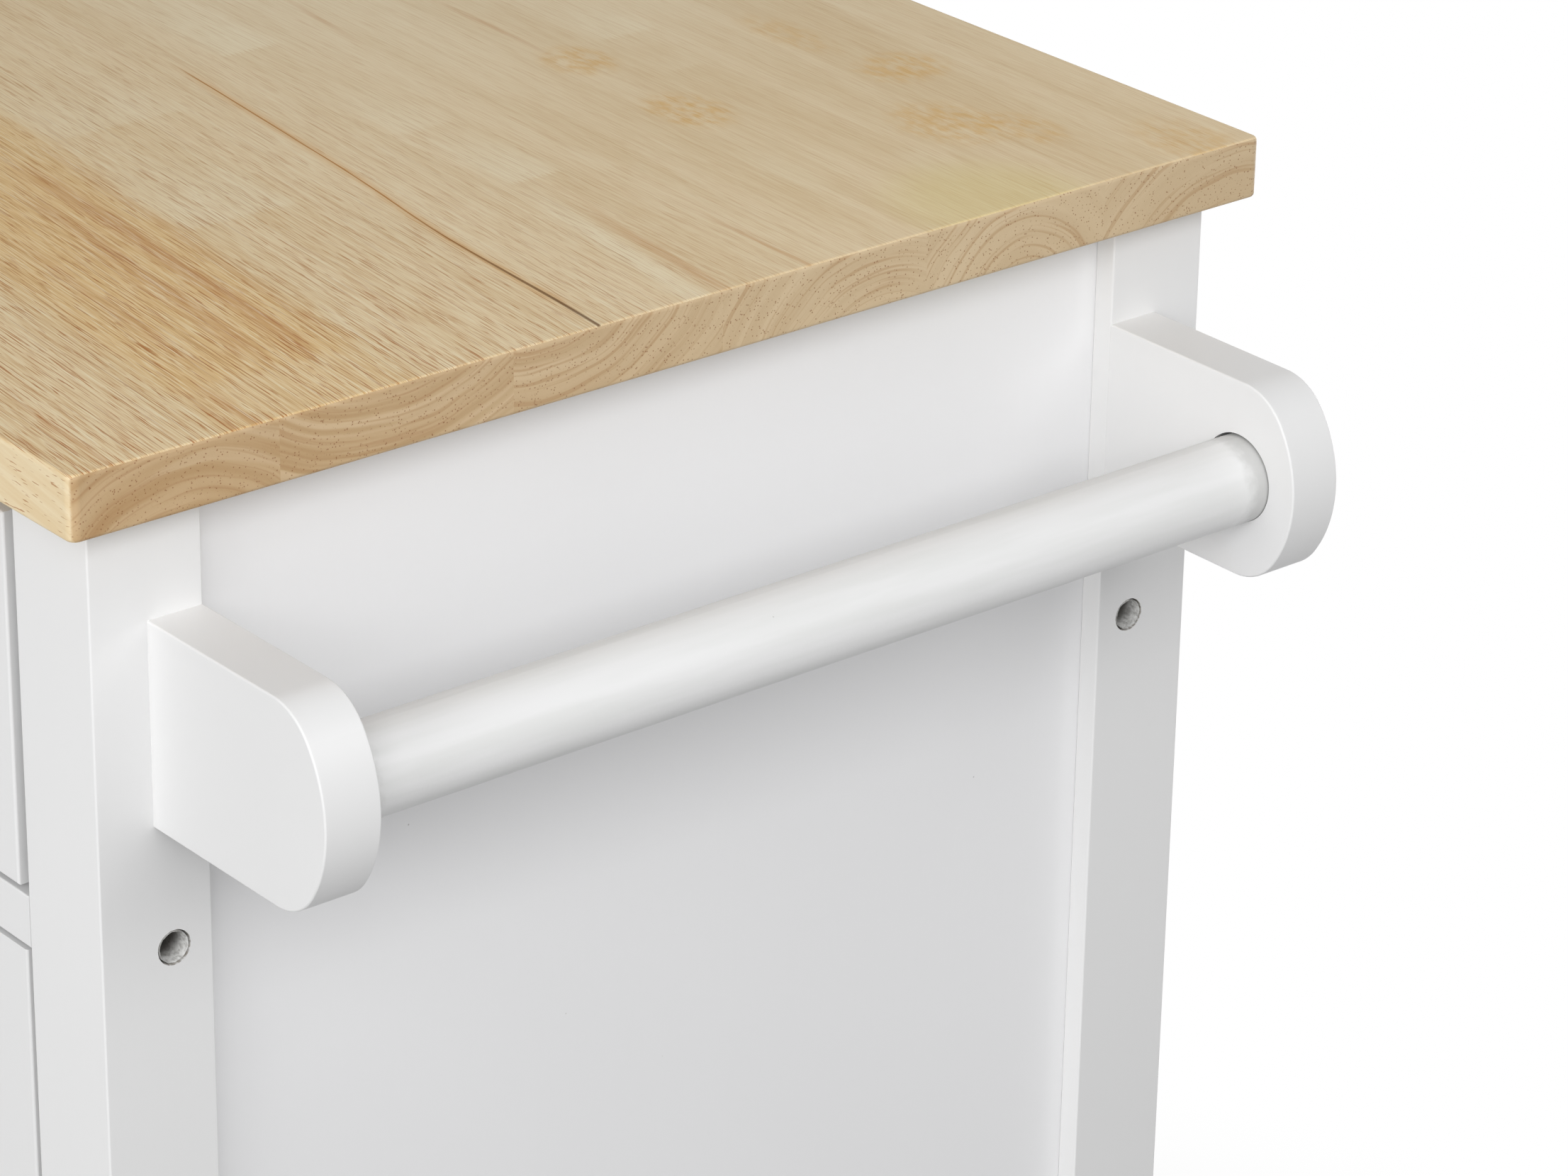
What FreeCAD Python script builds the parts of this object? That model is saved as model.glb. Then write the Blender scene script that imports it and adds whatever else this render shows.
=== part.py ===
"""Kitchen cart: a wooden worktop on a white cabinet with a drawer, two doors, a towel bar and casters.

All lengths are in millimetres. The front faces -Y, the towel bar is on the +X side, +Z is up.
The pieces are modelled about the middle of the worktop with the floor at zero, and moved at the
end so that the origin is the middle of the foot of the whole cart's bounding box.
"""
import FreeCAD, Part
import math
import os

from FreeCAD import Vector

os.makedirs("parts", exist_ok=True)

# Shared clearances
shaft_clearance = 0.05
dowel_clearance = 0.05
groove_clearance = 0.1
cut_overrun = 1.0
parallel_angle = 2.0

# Worktop
worktop_length = 600.0
worktop_depth = 400.0
worktop_thickness = 18.0
worktop_height = 865.0
worktop_overhang = 11.0
worktop_corner_radius = 3.0
worktop_arris = 1.2

# Posts
post_width = 34.0
post_arris = 0.6

# Side, back and bottom panels
side_panel_recess = 7.0
side_panel_thickness = 12.0
back_panel_recess = 7.0
back_panel_thickness = 5.0
panel_groove_depth = 6.0
bottom_panel_thickness = 12.0
bottom_panel_gap = 0.5

# Rails
rail_thickness = 15.0
front_rail_depth = 44.0
rear_rail_depth = 20.0
rear_rail_height = 30.0
front_top_rail_depth = 16.0
rail_arris = 0.5
drawer_opening_height = 118.5
bottom_rail_lift = 24.0

# Battens on the inside of the side panels
batten_height = 20.0
slide_batten_height = 40.0

# Rail bolts, with cross dowel nuts in the rails
bolt_radius = 3.0
bolt_hole_clearance = 0.3
bolt_head_radius = 4.6
bolt_head_height = 5.5
bolt_socket_radius = 2.3
bolt_socket_depth = 3.0
counterbore_radius = 5.0
counterbore_depth = 18.0
bolt_tip_length = 6.0
barrel_nut_radius = 5.0
barrel_nut_length = 12.0
barrel_nut_inset = 30.0

# Glued dowels of the two top rails
dowel_radius = 4.0
dowel_depth = 14.0

# Wood screws
screw_radius = 2.0
screw_head_radius = 4.0
screw_head_height = 2.2
worktop_screw_bite = 11.0
worktop_screw_count = 3
worktop_screw_margin = 60.0
bracket_screw_bite = 26.0
bracket_screw_pitch = 28.0

# Shelf and its pins
shelf_thickness = 12.0
shelf_end_gap = 2.0
shelf_post_gap = 1.5
shelf_front_gap = 6.0
shelf_rear_gap = 2.0
shelf_arris = 0.5
pin_radius = 2.5
pin_depth = 8.0
pin_reach = 9.0
pin_collar_radius = 4.0
pin_collar_thickness = 1.2
pin_hole_pitch = 32.0
pin_hole_count = 5
pin_column_inset = 42.0
pin_holes_below_count = 2

# Drawer
drawer_front_thickness = 16.0
drawer_front_proud = 1.0
drawer_side_gap = 3.0
drawer_top_gap = 10.5
drawer_bottom_gap = 2.5
drawer_front_arris = 0.8
drawer_side_space = 12.5
drawer_side_thickness = 12.0
drawer_rear_room = 26.0
drawer_box_height = 82.0
drawer_box_lift = 9.5
drawer_bottom_thickness = 4.0
drawer_bottom_rise = 8.0
drawer_groove_depth = 5.0

# Roller slides of the drawer
slide_sheet = 1.2
slide_rear_room = 8.5
slide_setback = 2.5
slide_lip = 9.5
slide_flange = 8.0
slide_foot = 9.0
slide_play = 0.3
slide_top_play = 1.0
roller_diameter = 15.0
roller_width = 6.0
roller_side_gap = 0.5
roller_crown = 0.8
roller_end_margin = 3.0
roller_pin_radius = 2.5
roller_pin_head_radius = 4.0
roller_pin_head_thickness = 1.0
roller_pin_head_gap = 0.3

# Doors
door_thickness = 16.0
door_top_gap = 1.5
door_bottom_gap = 2.0
door_meeting_gap = 2.0
door_frame_width = 50.0
door_panel_thickness = 5.0
door_groove_depth = 7.0
door_arris = 0.8

# Butt hinges of the doors
hinge_length = 50.0
hinge_inset = 75.0
hinge_leaf_thickness = 1.0
hinge_leaf_width = 14.0
hinge_leaf_clearance = 0.2
hinge_knuckle_radius = 3.0
hinge_knuckle_count = 3
hinge_knuckle_gap = 0.3
hinge_pin_radius = 1.5
hinge_pin_head_radius = 2.4
hinge_pin_head_height = 1.4

# Magnetic catches
catch_length = 34.0
catch_depth = 14.0
catch_height = 13.0
catch_arris = 1.0
catch_offset = 42.0
catch_pole_width = 10.0
catch_pole_reach = 1.0
strike_thickness = 1.0
strike_length = 26.0
strike_height = 12.0
strike_gap = 0.5

# Turned knobs
knob_radius = 14.0
knob_reach = 24.0
knob_base_radius = 7.0
knob_neck_radius = 4.5
knob_neck_reach = 8.0
knob_throat_reach = 14.5
knob_rim_reach = 17.0
knob_waist_bow = 0.7
knob_throat_bow = 1.6
knob_screw_radius = 2.0
knob_screw_bite = 9.0
knob_screw_head_radius = 4.0
knob_screw_head_height = 2.2
door_knob_drop = 60.0

# Towel bar and its brackets
bracket_thickness = 17.0
bracket_drop = 32.0
bracket_height = 58.0
bracket_reach = 76.0
bracket_nose_radius = 37.0
bracket_corner_radius = 18.0
bracket_arris = 0.6
towel_bar_radius = 12.5
towel_bar_nose_distance = 22.5
towel_bar_seat_depth = 10.0
towel_bar_clearance = 0.4
towel_bar_settle = 0.35

# Casters: stem and insert nut
caster_height = 66.0
insert_radius = 6.0
insert_length = 16.0
stem_thread_radius = 4.0
stem_thread_length = 20.0
stem_collar_radius = 11.0
stem_collar_thickness = 2.5
kingpin_radius = 5.0
kingpin_head_radius = 7.5
kingpin_head_thickness = 2.0
swivel_gap = 0.3

# Casters: fork
wheel_radius = 25.0
wheel_width = 18.0
wheel_side_gap = 1.0
caster_trail = 17.0
fork_arm_thickness = 2.5
fork_crown_radius = 14.0
fork_crown_height = 8.0
fork_crown_edge = 2.0
fork_axle_boss_radius = 7.0
fork_guard_gap = 2.5
fork_guard_thickness = 2.0
fork_guard_start_angle = 98.0
fork_guard_end_angle = 150.0
axle_radius = 3.0
axle_head_radius = 5.0
axle_head_thickness = 1.5

# Casters: wheel
wheel_tread_edge = 3.0
wheel_rim_depth = 6.0
wheel_dish_depth = 4.0
wheel_hub_radius = 7.0

# Casters: brake lever
brake_pin_radius = 2.0
brake_pivot_trail = 24.0
brake_pivot_drop = 10.0
brake_barrel_radius = 3.5
brake_side_gap = 0.3
brake_lift = 3.3
brake_shoe_angle = 47.9
brake_shoe_width = 6.0
brake_pedal_trail = 56.0
brake_pedal_thickness = 4.0
brake_pedal_drop = 2.0
brake_tip_radius = 1.8

# Carcass limits worked out from the sizes above
half_length = worktop_length / 2 - worktop_overhang
half_depth = worktop_depth / 2 - worktop_overhang
opening_half = half_length - post_width
post_inner_y = half_depth - post_width
underside = worktop_height - worktop_thickness
post_bottom = caster_height
panel_outer_x = half_length - side_panel_recess
panel_inner_x = panel_outer_x - side_panel_thickness
back_outer_y = half_depth - back_panel_recess
back_inner_y = back_outer_y - back_panel_thickness
middle_rail_top = underside - drawer_opening_height
middle_rail_bottom = middle_rail_top - rail_thickness
bottom_rail_bottom = post_bottom + bottom_rail_lift
bottom_rail_top = bottom_rail_bottom + rail_thickness
middle_bolt_z = middle_rail_top - rail_thickness / 2
bottom_bolt_z = bottom_rail_bottom + rail_thickness / 2
front_bolt_y = -half_depth + front_rail_depth / 2
rear_bolt_y = back_inner_y - rear_rail_depth / 2
bottom_panel_bottom = bottom_rail_top - bottom_panel_thickness
panel_bottom = bottom_panel_bottom - batten_height
top_rail_z = underside - rail_thickness / 2
front_top_rail_y = -post_inner_y - front_top_rail_depth / 2
cabinet_height = middle_rail_bottom - bottom_rail_top

# Drawer limits
drawer_half_width = opening_half - drawer_side_space
drawer_front_y = -half_depth - drawer_front_proud
drawer_box_front_y = drawer_front_y + drawer_front_thickness
drawer_box_rear_y = back_inner_y - drawer_rear_room
drawer_box_bottom = middle_rail_top + drawer_box_lift
drawer_front_bottom = middle_rail_top + drawer_bottom_gap
drawer_front_top = underside - drawer_top_gap
drawer_floor = drawer_box_bottom + drawer_bottom_rise

# Slide limits
slide_front_y = drawer_box_front_y + slide_setback
slide_rear_y = back_inner_y - slide_rear_room
roller_radius = roller_diameter / 2
slide_flange_rise = slide_sheet + roller_diameter + 2 * slide_play
slide_channel_height = slide_flange_rise + 2 * slide_sheet + slide_top_play
roller_z = drawer_box_bottom + slide_sheet + slide_play + roller_radius
front_roller_y = slide_front_y + roller_end_margin + roller_radius
rear_roller_y = drawer_box_rear_y - roller_end_margin - roller_radius
roller_near_edge = slide_sheet + roller_side_gap

# Door limits
door_bottom = bottom_rail_top + door_bottom_gap
door_top = middle_rail_bottom - door_top_gap
door_hinge_gap = 2 * hinge_leaf_thickness + hinge_leaf_clearance
hinge_axis_x = opening_half - door_hinge_gap / 2
hinge_axis_y = -half_depth - hinge_knuckle_radius - hinge_knuckle_gap
hinge_starts = (door_bottom + hinge_inset, door_top - hinge_inset - hinge_length)
door_back_y = -half_depth + door_thickness

# Towel bar limits
bracket_centre_z = underside - bracket_drop - bracket_height / 2
bracket_outer_y = post_inner_y + bracket_thickness
towel_bar_x = half_length + bracket_reach - towel_bar_nose_distance

# Caster limits
caster_x = half_length - post_width / 2
caster_y = half_depth - post_width / 2
crown_top = caster_height - stem_collar_thickness - swivel_gap
crown_bottom = crown_top - fork_crown_height
arm_inner = wheel_width / 2 + wheel_side_gap
arm_outer = arm_inner + fork_arm_thickness
brake_pivot_z = caster_height - brake_pivot_drop

# The origin: the middle of the foot of the box round the whole cart
knob_front_y = min(drawer_front_y, -half_depth) - knob_reach
cart_right = half_length + bracket_reach
cart_left = -worktop_length / 2
cart_front = min(knob_front_y, -worktop_depth / 2)
cart_rear = worktop_depth / 2
origin_shift = Vector(-(cart_left + cart_right) / 2, -(cart_front + cart_rear) / 2, 0)


def between(first, second):
    """Two limits in rising order."""
    return min(first, second), max(first, second)


def block(x_limits, y_limits, z_limits):
    """A box between three pairs of limits."""
    x_low, x_high = between(*x_limits)
    y_low, y_high = between(*y_limits)
    z_low, z_high = between(*z_limits)
    corner = Vector(x_low, y_low, z_low)
    return Part.makeBox(x_high - x_low, y_high - y_low, z_high - z_low, corner)


def edges_along(solid, direction):
    """The straight edges of a solid that run along a direction."""
    found = []
    for edge in solid.Edges:
        if isinstance(edge.Curve, Part.Line):
            way = edge.tangentAt(edge.FirstParameter)
            if abs(way.dot(direction)) > math.cos(math.radians(parallel_angle)):
                found.append(edge)
    return found


def board(x_limits, y_limits, z_limits, arris):
    """A sawn board whose long arrises are slightly rounded."""
    solid = block(x_limits, y_limits, z_limits)
    lengths = [abs(limits[1] - limits[0]) for limits in (x_limits, y_limits, z_limits)]
    axes = (Vector(1, 0, 0), Vector(0, 1, 0), Vector(0, 0, 1))
    grain = axes[lengths.index(max(lengths))]
    return solid.makeFillet(arris, edges_along(solid, grain))


def rod(start, direction, radius, length):
    """A round bar from a start point along a direction."""
    return Part.makeCylinder(radius, length, start, direction)


def drilled(solid, holes):
    """A solid with a list of holes taken out of it."""
    if not holes:
        return solid
    return solid.cut(holes)


def outline(points):
    """A closed face through a list of points."""
    return Part.Face(Part.makePolygon(points + points[:1]))


def turned(profile_points, start, direction):
    """A turned solid from radius and distance pairs along an axis."""
    points = [Vector(radius, 0, distance) for radius, distance in profile_points]
    solid = outline(points).revolve(Vector(0, 0, 0), Vector(0, 0, 1), 360)
    solid.Placement = FreeCAD.Placement(start, FreeCAD.Rotation(Vector(0, 0, 1), direction))
    return solid


def joined(solids):
    """One solid out of several that touch or overlap."""
    whole = solids[0].fuse(solids[1:])
    return whole.removeSplitter()


def group(solids):
    """Several separate solids that share a node."""
    return Part.makeCompound(solids)


def save(name, shape):
    """Write a sub-part in the cart's own frame."""
    moved = shape.copy()
    moved.translate(origin_shift)
    moved.exportStep("parts/" + name + ".step")


def screw(head_centre, direction, radius, head_radius, head_height, length):
    """A countersunk screw whose flat head lies at head_centre."""
    profile = [
        (0, 0),
        (head_radius, 0),
        (radius, head_height),
        (radius, length - radius),
        (0, length),
    ]
    return turned(profile, head_centre, direction)


def screw_hole(head_centre, direction, radius, head_radius, head_height, length):
    """The countersunk hole that a screw sits in."""
    profile = [
        (0, 0),
        (head_radius + shaft_clearance, 0),
        (radius + shaft_clearance, head_height),
        (radius + shaft_clearance, length + shaft_clearance),
        (0, length + shaft_clearance),
    ]
    return turned(profile, head_centre, direction)


# Worktop


def worktop_screw_places():
    """Head centres of the screws that hold the worktop to the two top rails."""
    places = []
    span = 2 * (opening_half - worktop_screw_margin)
    for rail_y in (front_top_rail_y, rear_bolt_y):
        for index in range(worktop_screw_count):
            share = index / (worktop_screw_count - 1) - 0.5
            places.append(Vector(span * share, rail_y, underside - rail_thickness))
    return places


def worktop_screw_sizes():
    """Radius, head radius, head height and length of a worktop screw."""
    return screw_radius, screw_head_radius, screw_head_height, rail_thickness + worktop_screw_bite


def worktop_screw_holes():
    """Holes of the worktop screws through the rails and into the worktop."""
    sizes = worktop_screw_sizes()
    return [screw_hole(place, Vector(0, 0, 1), *sizes) for place in worktop_screw_places()]


def make_worktop():
    """The laminated worktop with rounded corners and eased edges."""
    x_limit = worktop_length / 2
    y_limit = worktop_depth / 2
    slab = block((-x_limit, x_limit), (-y_limit, y_limit), (underside, worktop_height))
    slab = slab.makeFillet(worktop_corner_radius, edges_along(slab, Vector(0, 0, 1)))
    rims = [edge for edge in slab.Edges if abs(edge.BoundBox.ZLength) < worktop_arris]
    slab = slab.makeFillet(worktop_arris, rims)
    return drilled(slab, worktop_screw_holes())


# Frame of posts and rails


def bolt_line(side, end, bolt_z):
    """Start of a rail bolt on a post's outer face, and the way that it goes in."""
    bolt_y = front_bolt_y if end < 0 else rear_bolt_y
    return Vector(side * half_length, bolt_y, bolt_z), Vector(-side, 0, 0)


def bolt_holes(side, end, bolt_z):
    """Counterbore and clearance hole of a rail bolt."""
    start, inward = bolt_line(side, end, bolt_z)
    reach = post_width + barrel_nut_inset + barrel_nut_radius + bolt_tip_length
    wide = rod(start - inward * cut_overrun, inward, counterbore_radius, counterbore_depth + cut_overrun)
    narrow = rod(start, inward, bolt_radius + bolt_hole_clearance, reach)
    return [wide, narrow]


def barrel_nut_place(side, end, bolt_z):
    """Centre of the cross dowel nut inside a rail."""
    start, inward = bolt_line(side, end, bolt_z)
    return start + inward * (post_width + barrel_nut_inset)


def bolt_ends():
    """Side, end and height of every rail bolt."""
    heights = (middle_bolt_z, bottom_bolt_z)
    return [(side, end, bolt_z) for side in (-1, 1) for end in (-1, 1) for bolt_z in heights]


def dowel_places():
    """Centre and axis of the dowels between top rails and posts."""
    places = []
    for side in (-1, 1):
        for rail_y in (front_top_rail_y, rear_bolt_y):
            places.append((side, Vector(side * opening_half, rail_y, top_rail_z)))
    return places


def dowel_holes(side):
    """Dowel holes on one side of the cart."""
    holes = []
    for dowel_side, centre in dowel_places():
        if dowel_side == side:
            start = centre - Vector(dowel_depth + dowel_clearance, 0, 0)
            length = 2 * (dowel_depth + dowel_clearance)
            holes.append(rod(start, Vector(1, 0, 0), dowel_radius + dowel_clearance, length))
    return holes


def bracket_screw_places(end):
    """Head centres of the screws through a right-hand post into a towel bracket."""
    screw_y = end * (post_inner_y + bracket_thickness / 2)
    heights = (bracket_centre_z - bracket_screw_pitch / 2, bracket_centre_z + bracket_screw_pitch / 2)
    return [Vector(opening_half, screw_y, height) for height in heights]


def bracket_screw_sizes():
    """Radius, head radius, head height and length of a bracket screw."""
    return screw_radius, screw_head_radius, screw_head_height, post_width + bracket_screw_bite


def bracket_screw_holes(end):
    """Holes of the bracket screws through the post and into the bracket."""
    sizes = bracket_screw_sizes()
    return [screw_hole(place, Vector(1, 0, 0), *sizes) for place in bracket_screw_places(end)]


def make_post(side, end):
    """One square post with its panel grooves, bolt holes, dowel hole and caster insert hole."""
    x_limits = (side * opening_half, side * half_length)
    y_limits = (end * post_inner_y, end * half_depth)
    post = board(x_limits, y_limits, (post_bottom, underside), post_arris)
    groove_x = (
        side * (panel_inner_x - groove_clearance),
        side * (panel_outer_x + groove_clearance),
    )
    groove_y = (
        end * (post_inner_y - cut_overrun),
        end * (post_inner_y + panel_groove_depth + groove_clearance),
    )
    holes = [block(groove_x, groove_y, (panel_bottom, underside + cut_overrun))]
    if end > 0:
        back_x = (
            side * (opening_half - cut_overrun),
            side * (opening_half + panel_groove_depth + groove_clearance),
        )
        back_y = (back_inner_y - groove_clearance, back_outer_y + groove_clearance)
        holes.append(block(back_x, back_y, (panel_bottom, underside + cut_overrun)))
    for bolt_z in (middle_bolt_z, bottom_bolt_z):
        holes += bolt_holes(side, end, bolt_z)
    holes += dowel_holes(side)
    insert_start = Vector(side * caster_x, end * caster_y, post_bottom - cut_overrun)
    insert_length_cut = insert_length + dowel_clearance + cut_overrun
    holes.append(rod(insert_start, Vector(0, 0, 1), insert_radius + dowel_clearance, insert_length_cut))
    stem_reach = stem_thread_length + dowel_clearance + cut_overrun
    holes.append(rod(insert_start, Vector(0, 0, 1), stem_thread_radius + shaft_clearance, stem_reach))
    if side > 0:
        holes += bracket_screw_holes(end)
    return drilled(post, holes)


def rail_holes():
    """Bolt and cross dowel holes of every rail end."""
    holes = []
    for side, end, bolt_z in bolt_ends():
        holes += bolt_holes(side, end, bolt_z)
        centre = barrel_nut_place(side, end, bolt_z)
        start = centre - Vector(0, 0, rear_rail_height)
        top = centre.z + barrel_nut_length / 2 + dowel_clearance
        holes.append(rod(start, Vector(0, 0, 1), barrel_nut_radius + dowel_clearance, top - start.z))
    return holes


def front_rail(z_limits):
    """A flat front rail between the front posts."""
    y_limits = (-half_depth, -half_depth + front_rail_depth)
    rail = board((-opening_half, opening_half), y_limits, z_limits, rail_arris)
    return drilled(rail, rail_holes())


def rear_rail(bolt_z):
    """An upright rear rail in front of the back panel."""
    y_limits = (back_inner_y - rear_rail_depth, back_inner_y)
    z_limits = (bolt_z - rear_rail_height / 2, bolt_z + rear_rail_height / 2)
    rail = board((-opening_half, opening_half), y_limits, z_limits, rail_arris)
    return drilled(rail, rail_holes())


def top_rail(y_limits):
    """A slim rail under the worktop, dowelled to two posts."""
    z_limits = (underside - rail_thickness, underside)
    rail = board((-opening_half, opening_half), y_limits, z_limits, rail_arris)
    return drilled(rail, dowel_holes(-1) + dowel_holes(1) + worktop_screw_holes())


def make_rail_bolt(side, end, bolt_z):
    """A bolt with a socket head at the foot of its counterbore."""
    start, inward = bolt_line(side, end, bolt_z)
    seat = start + inward * counterbore_depth
    length = post_width - counterbore_depth + barrel_nut_inset + barrel_nut_radius + bolt_tip_length
    shank = rod(seat, inward, bolt_radius, length - shaft_clearance)
    head = rod(seat - inward * bolt_head_height, inward, bolt_head_radius, bolt_head_height)
    socket = Part.makePolygon([
        Vector(bolt_socket_radius * math.cos(math.radians(60 * corner)),
               bolt_socket_radius * math.sin(math.radians(60 * corner)), 0)
        for corner in range(7)
    ])
    key = Part.Face(socket).extrude(Vector(0, 0, bolt_socket_depth))
    key.Placement = FreeCAD.Placement(
        seat - inward * bolt_head_height, FreeCAD.Rotation(Vector(0, 0, 1), inward))
    return joined([shank, head]).cut(key)


def make_barrel_nut(side, end, bolt_z):
    """A cross dowel nut that the rail bolt screws into."""
    centre = barrel_nut_place(side, end, bolt_z)
    base = centre - Vector(0, 0, barrel_nut_length / 2)
    nut = rod(base, Vector(0, 0, 1), barrel_nut_radius, barrel_nut_length)
    start, inward = bolt_line(side, end, bolt_z)
    thread = rod(start, inward, bolt_radius + shaft_clearance, 2 * post_width + barrel_nut_inset)
    return nut.cut(thread)


def make_dowel(centre):
    """A glued wooden dowel with a bevelled tip at each end."""
    tip = dowel_radius / 4
    profile = [
        (0, -dowel_depth),
        (dowel_radius - tip, -dowel_depth),
        (dowel_radius, -dowel_depth + tip),
        (dowel_radius, dowel_depth - tip),
        (dowel_radius - tip, dowel_depth),
        (0, dowel_depth),
    ]
    return turned(profile, centre, Vector(1, 0, 0))


# Panels, battens and shelf


def pin_columns():
    """Front and rear places of the columns of shelf pin holes."""
    return -post_inner_y + pin_column_inset, post_inner_y - pin_column_inset


def pin_rows():
    """Heights of the shelf pin holes about the middle of the cabinet."""
    middle = bottom_rail_top + cabinet_height / 2
    return [middle + pin_hole_pitch * (row - (pin_hole_count - 1) / 2) for row in range(pin_hole_count)]


def make_side_panel(side):
    """A recessed side panel with its columns of shelf pin holes."""
    y_limit = post_inner_y + panel_groove_depth
    x_limits = (side * panel_inner_x, side * panel_outer_x)
    panel = block(x_limits, (-y_limit, y_limit), (panel_bottom, underside))
    holes = []
    for column_y in pin_columns():
        for row_z in pin_rows():
            start = Vector(side * (panel_inner_x - cut_overrun), column_y, row_z)
            depth = cut_overrun + pin_depth + dowel_clearance
            holes.append(rod(start, Vector(side, 0, 0), pin_radius + shaft_clearance, depth))
    return drilled(panel, holes)


def make_back_panel():
    """The thin back panel between the rear posts."""
    x_limit = opening_half + panel_groove_depth
    return block((-x_limit, x_limit), (back_inner_y, back_outer_y), (panel_bottom, underside))


def make_bottom_panel():
    """The cabinet floor, level with the bottom rails."""
    x_limit = panel_inner_x - bottom_panel_gap
    y_limits = (-half_depth + front_rail_depth, post_inner_y - bottom_panel_gap)
    return block((-x_limit, x_limit), y_limits, (bottom_panel_bottom, bottom_rail_top))


def make_battens():
    """Battens on the side panels under the cabinet floor and behind the drawer slides."""
    battens = []
    slide_middle = drawer_box_bottom + slide_channel_height / 2
    floor_z = (panel_bottom, bottom_panel_bottom)
    slide_z = (slide_middle - slide_batten_height / 2, slide_middle + slide_batten_height / 2)
    for side in (-1, 1):
        for z_limits in (floor_z, slide_z):
            x_limits = (side * opening_half, side * panel_inner_x)
            battens.append(board(x_limits, (-post_inner_y, post_inner_y), z_limits, rail_arris))
    return group(battens)


def shelf_bottom():
    """Height of the shelf's underside on its pins."""
    return pin_rows()[pin_holes_below_count] + pin_radius


def make_shelf():
    """The loose shelf, notched round the four posts."""
    x_outer = panel_inner_x - shelf_end_gap
    y_limits = (door_back_y + shelf_front_gap, back_inner_y - shelf_rear_gap)
    z_limits = (shelf_bottom(), shelf_bottom() + shelf_thickness)
    shelf = board((-x_outer, x_outer), y_limits, z_limits, shelf_arris)
    notches = []
    for side in (-1, 1):
        for end in (-1, 1):
            x_cut = (side * (opening_half - shelf_post_gap), side * (x_outer + cut_overrun))
            y_cut = (end * (post_inner_y - shelf_post_gap), end * (half_depth + cut_overrun))
            z_cut = (z_limits[0] - cut_overrun, z_limits[1] + cut_overrun)
            notches.append(block(x_cut, y_cut, z_cut))
    return drilled(shelf, notches)


def make_shelf_pins():
    """Four collared shelf pins."""
    pins = []
    pin_z = pin_rows()[pin_holes_below_count]
    profile = [
        (0, -pin_depth),
        (pin_radius, -pin_depth),
        (pin_radius, 0),
        (pin_collar_radius, 0),
        (pin_collar_radius, pin_collar_thickness),
        (pin_radius, pin_collar_thickness),
        (pin_radius, pin_reach),
        (0, pin_reach),
    ]
    for side in (-1, 1):
        for column_y in pin_columns():
            foot = Vector(side * panel_inner_x, column_y, pin_z)
            pins.append(turned(profile, foot, Vector(-side, 0, 0)))
    return group(pins)


# Drawer slides


def slide_profile(side, corners, front_y, rear_y):
    """A folded steel profile from distances and heights, drawn out along the drawer's way."""
    points = [Vector(side * across, front_y, height) for across, height in corners]
    return outline(points).extrude(Vector(0, rear_y - front_y, 0))


def roller_pin(side, web_across, inward, roller_y):
    """A riveted roller pin that starts at the outer skin of its web."""
    head_start = roller_near_edge + roller_width + roller_pin_head_gap
    profile = [
        (0, 0),
        (roller_pin_radius, 0),
        (roller_pin_radius, head_start),
        (roller_pin_head_radius, head_start),
        (roller_pin_head_radius, head_start + roller_pin_head_thickness),
        (0, head_start + roller_pin_head_thickness),
    ]
    return turned(profile, Vector(side * web_across, roller_y, roller_z), Vector(side * inward, 0, 0))


def roller_pin_hole(side, web_across, inward, roller_y):
    """The hole in the web that a roller pin is riveted into."""
    start = Vector(side * (web_across - inward * cut_overrun), roller_y, roller_z)
    depth = slide_sheet + 2 * cut_overrun
    return rod(start, Vector(side * inward, 0, 0), roller_pin_radius + shaft_clearance, depth)


def make_cabinet_slide(side):
    """The fixed channel of a roller slide with its front roller's pin."""
    low = drawer_box_bottom
    high = low + slide_channel_height
    outer = opening_half
    corners = [
        (outer, low),
        (outer - slide_lip, low),
        (outer - slide_lip, low + slide_sheet),
        (outer - slide_sheet, low + slide_sheet),
        (outer - slide_sheet, high - slide_sheet),
        (outer - slide_lip, high - slide_sheet),
        (outer - slide_lip, high),
        (outer, high),
    ]
    channel = slide_profile(side, corners, slide_front_y, slide_rear_y)
    channel = channel.cut(roller_pin_hole(side, outer, -1, front_roller_y))
    return [channel, roller_pin(side, outer, -1, front_roller_y)]


def make_drawer_slide(side):
    """The moving angle of a roller slide under a drawer side, with its rear roller's pin."""
    low = drawer_box_bottom
    inner = drawer_half_width
    flange_low = low + slide_flange_rise
    corners = [
        (inner - slide_foot, low - slide_sheet),
        (inner + slide_sheet, low - slide_sheet),
        (inner + slide_sheet, flange_low),
        (inner + slide_sheet + slide_flange, flange_low),
        (inner + slide_sheet + slide_flange, flange_low + slide_sheet),
        (inner, flange_low + slide_sheet),
        (inner, low),
        (inner - slide_foot, low),
    ]
    angle = slide_profile(side, corners, drawer_box_front_y, drawer_box_rear_y)
    angle = angle.cut(roller_pin_hole(side, inner, 1, rear_roller_y))
    return [angle, roller_pin(side, inner, 1, rear_roller_y)]


def make_roller(side, web_across, inward, roller_y):
    """A nylon roller with a crowned tread that turns on its pin."""
    bore = roller_pin_radius + shaft_clearance
    near = roller_near_edge
    far = roller_near_edge + roller_width
    profile = [
        (bore, near),
        (roller_radius - roller_crown, near),
        (roller_radius, near + roller_crown),
        (roller_radius, far - roller_crown),
        (roller_radius - roller_crown, far),
        (bore, far),
    ]
    return turned(profile, Vector(side * web_across, roller_y, roller_z), Vector(side * inward, 0, 0))


# Drawer


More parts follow.
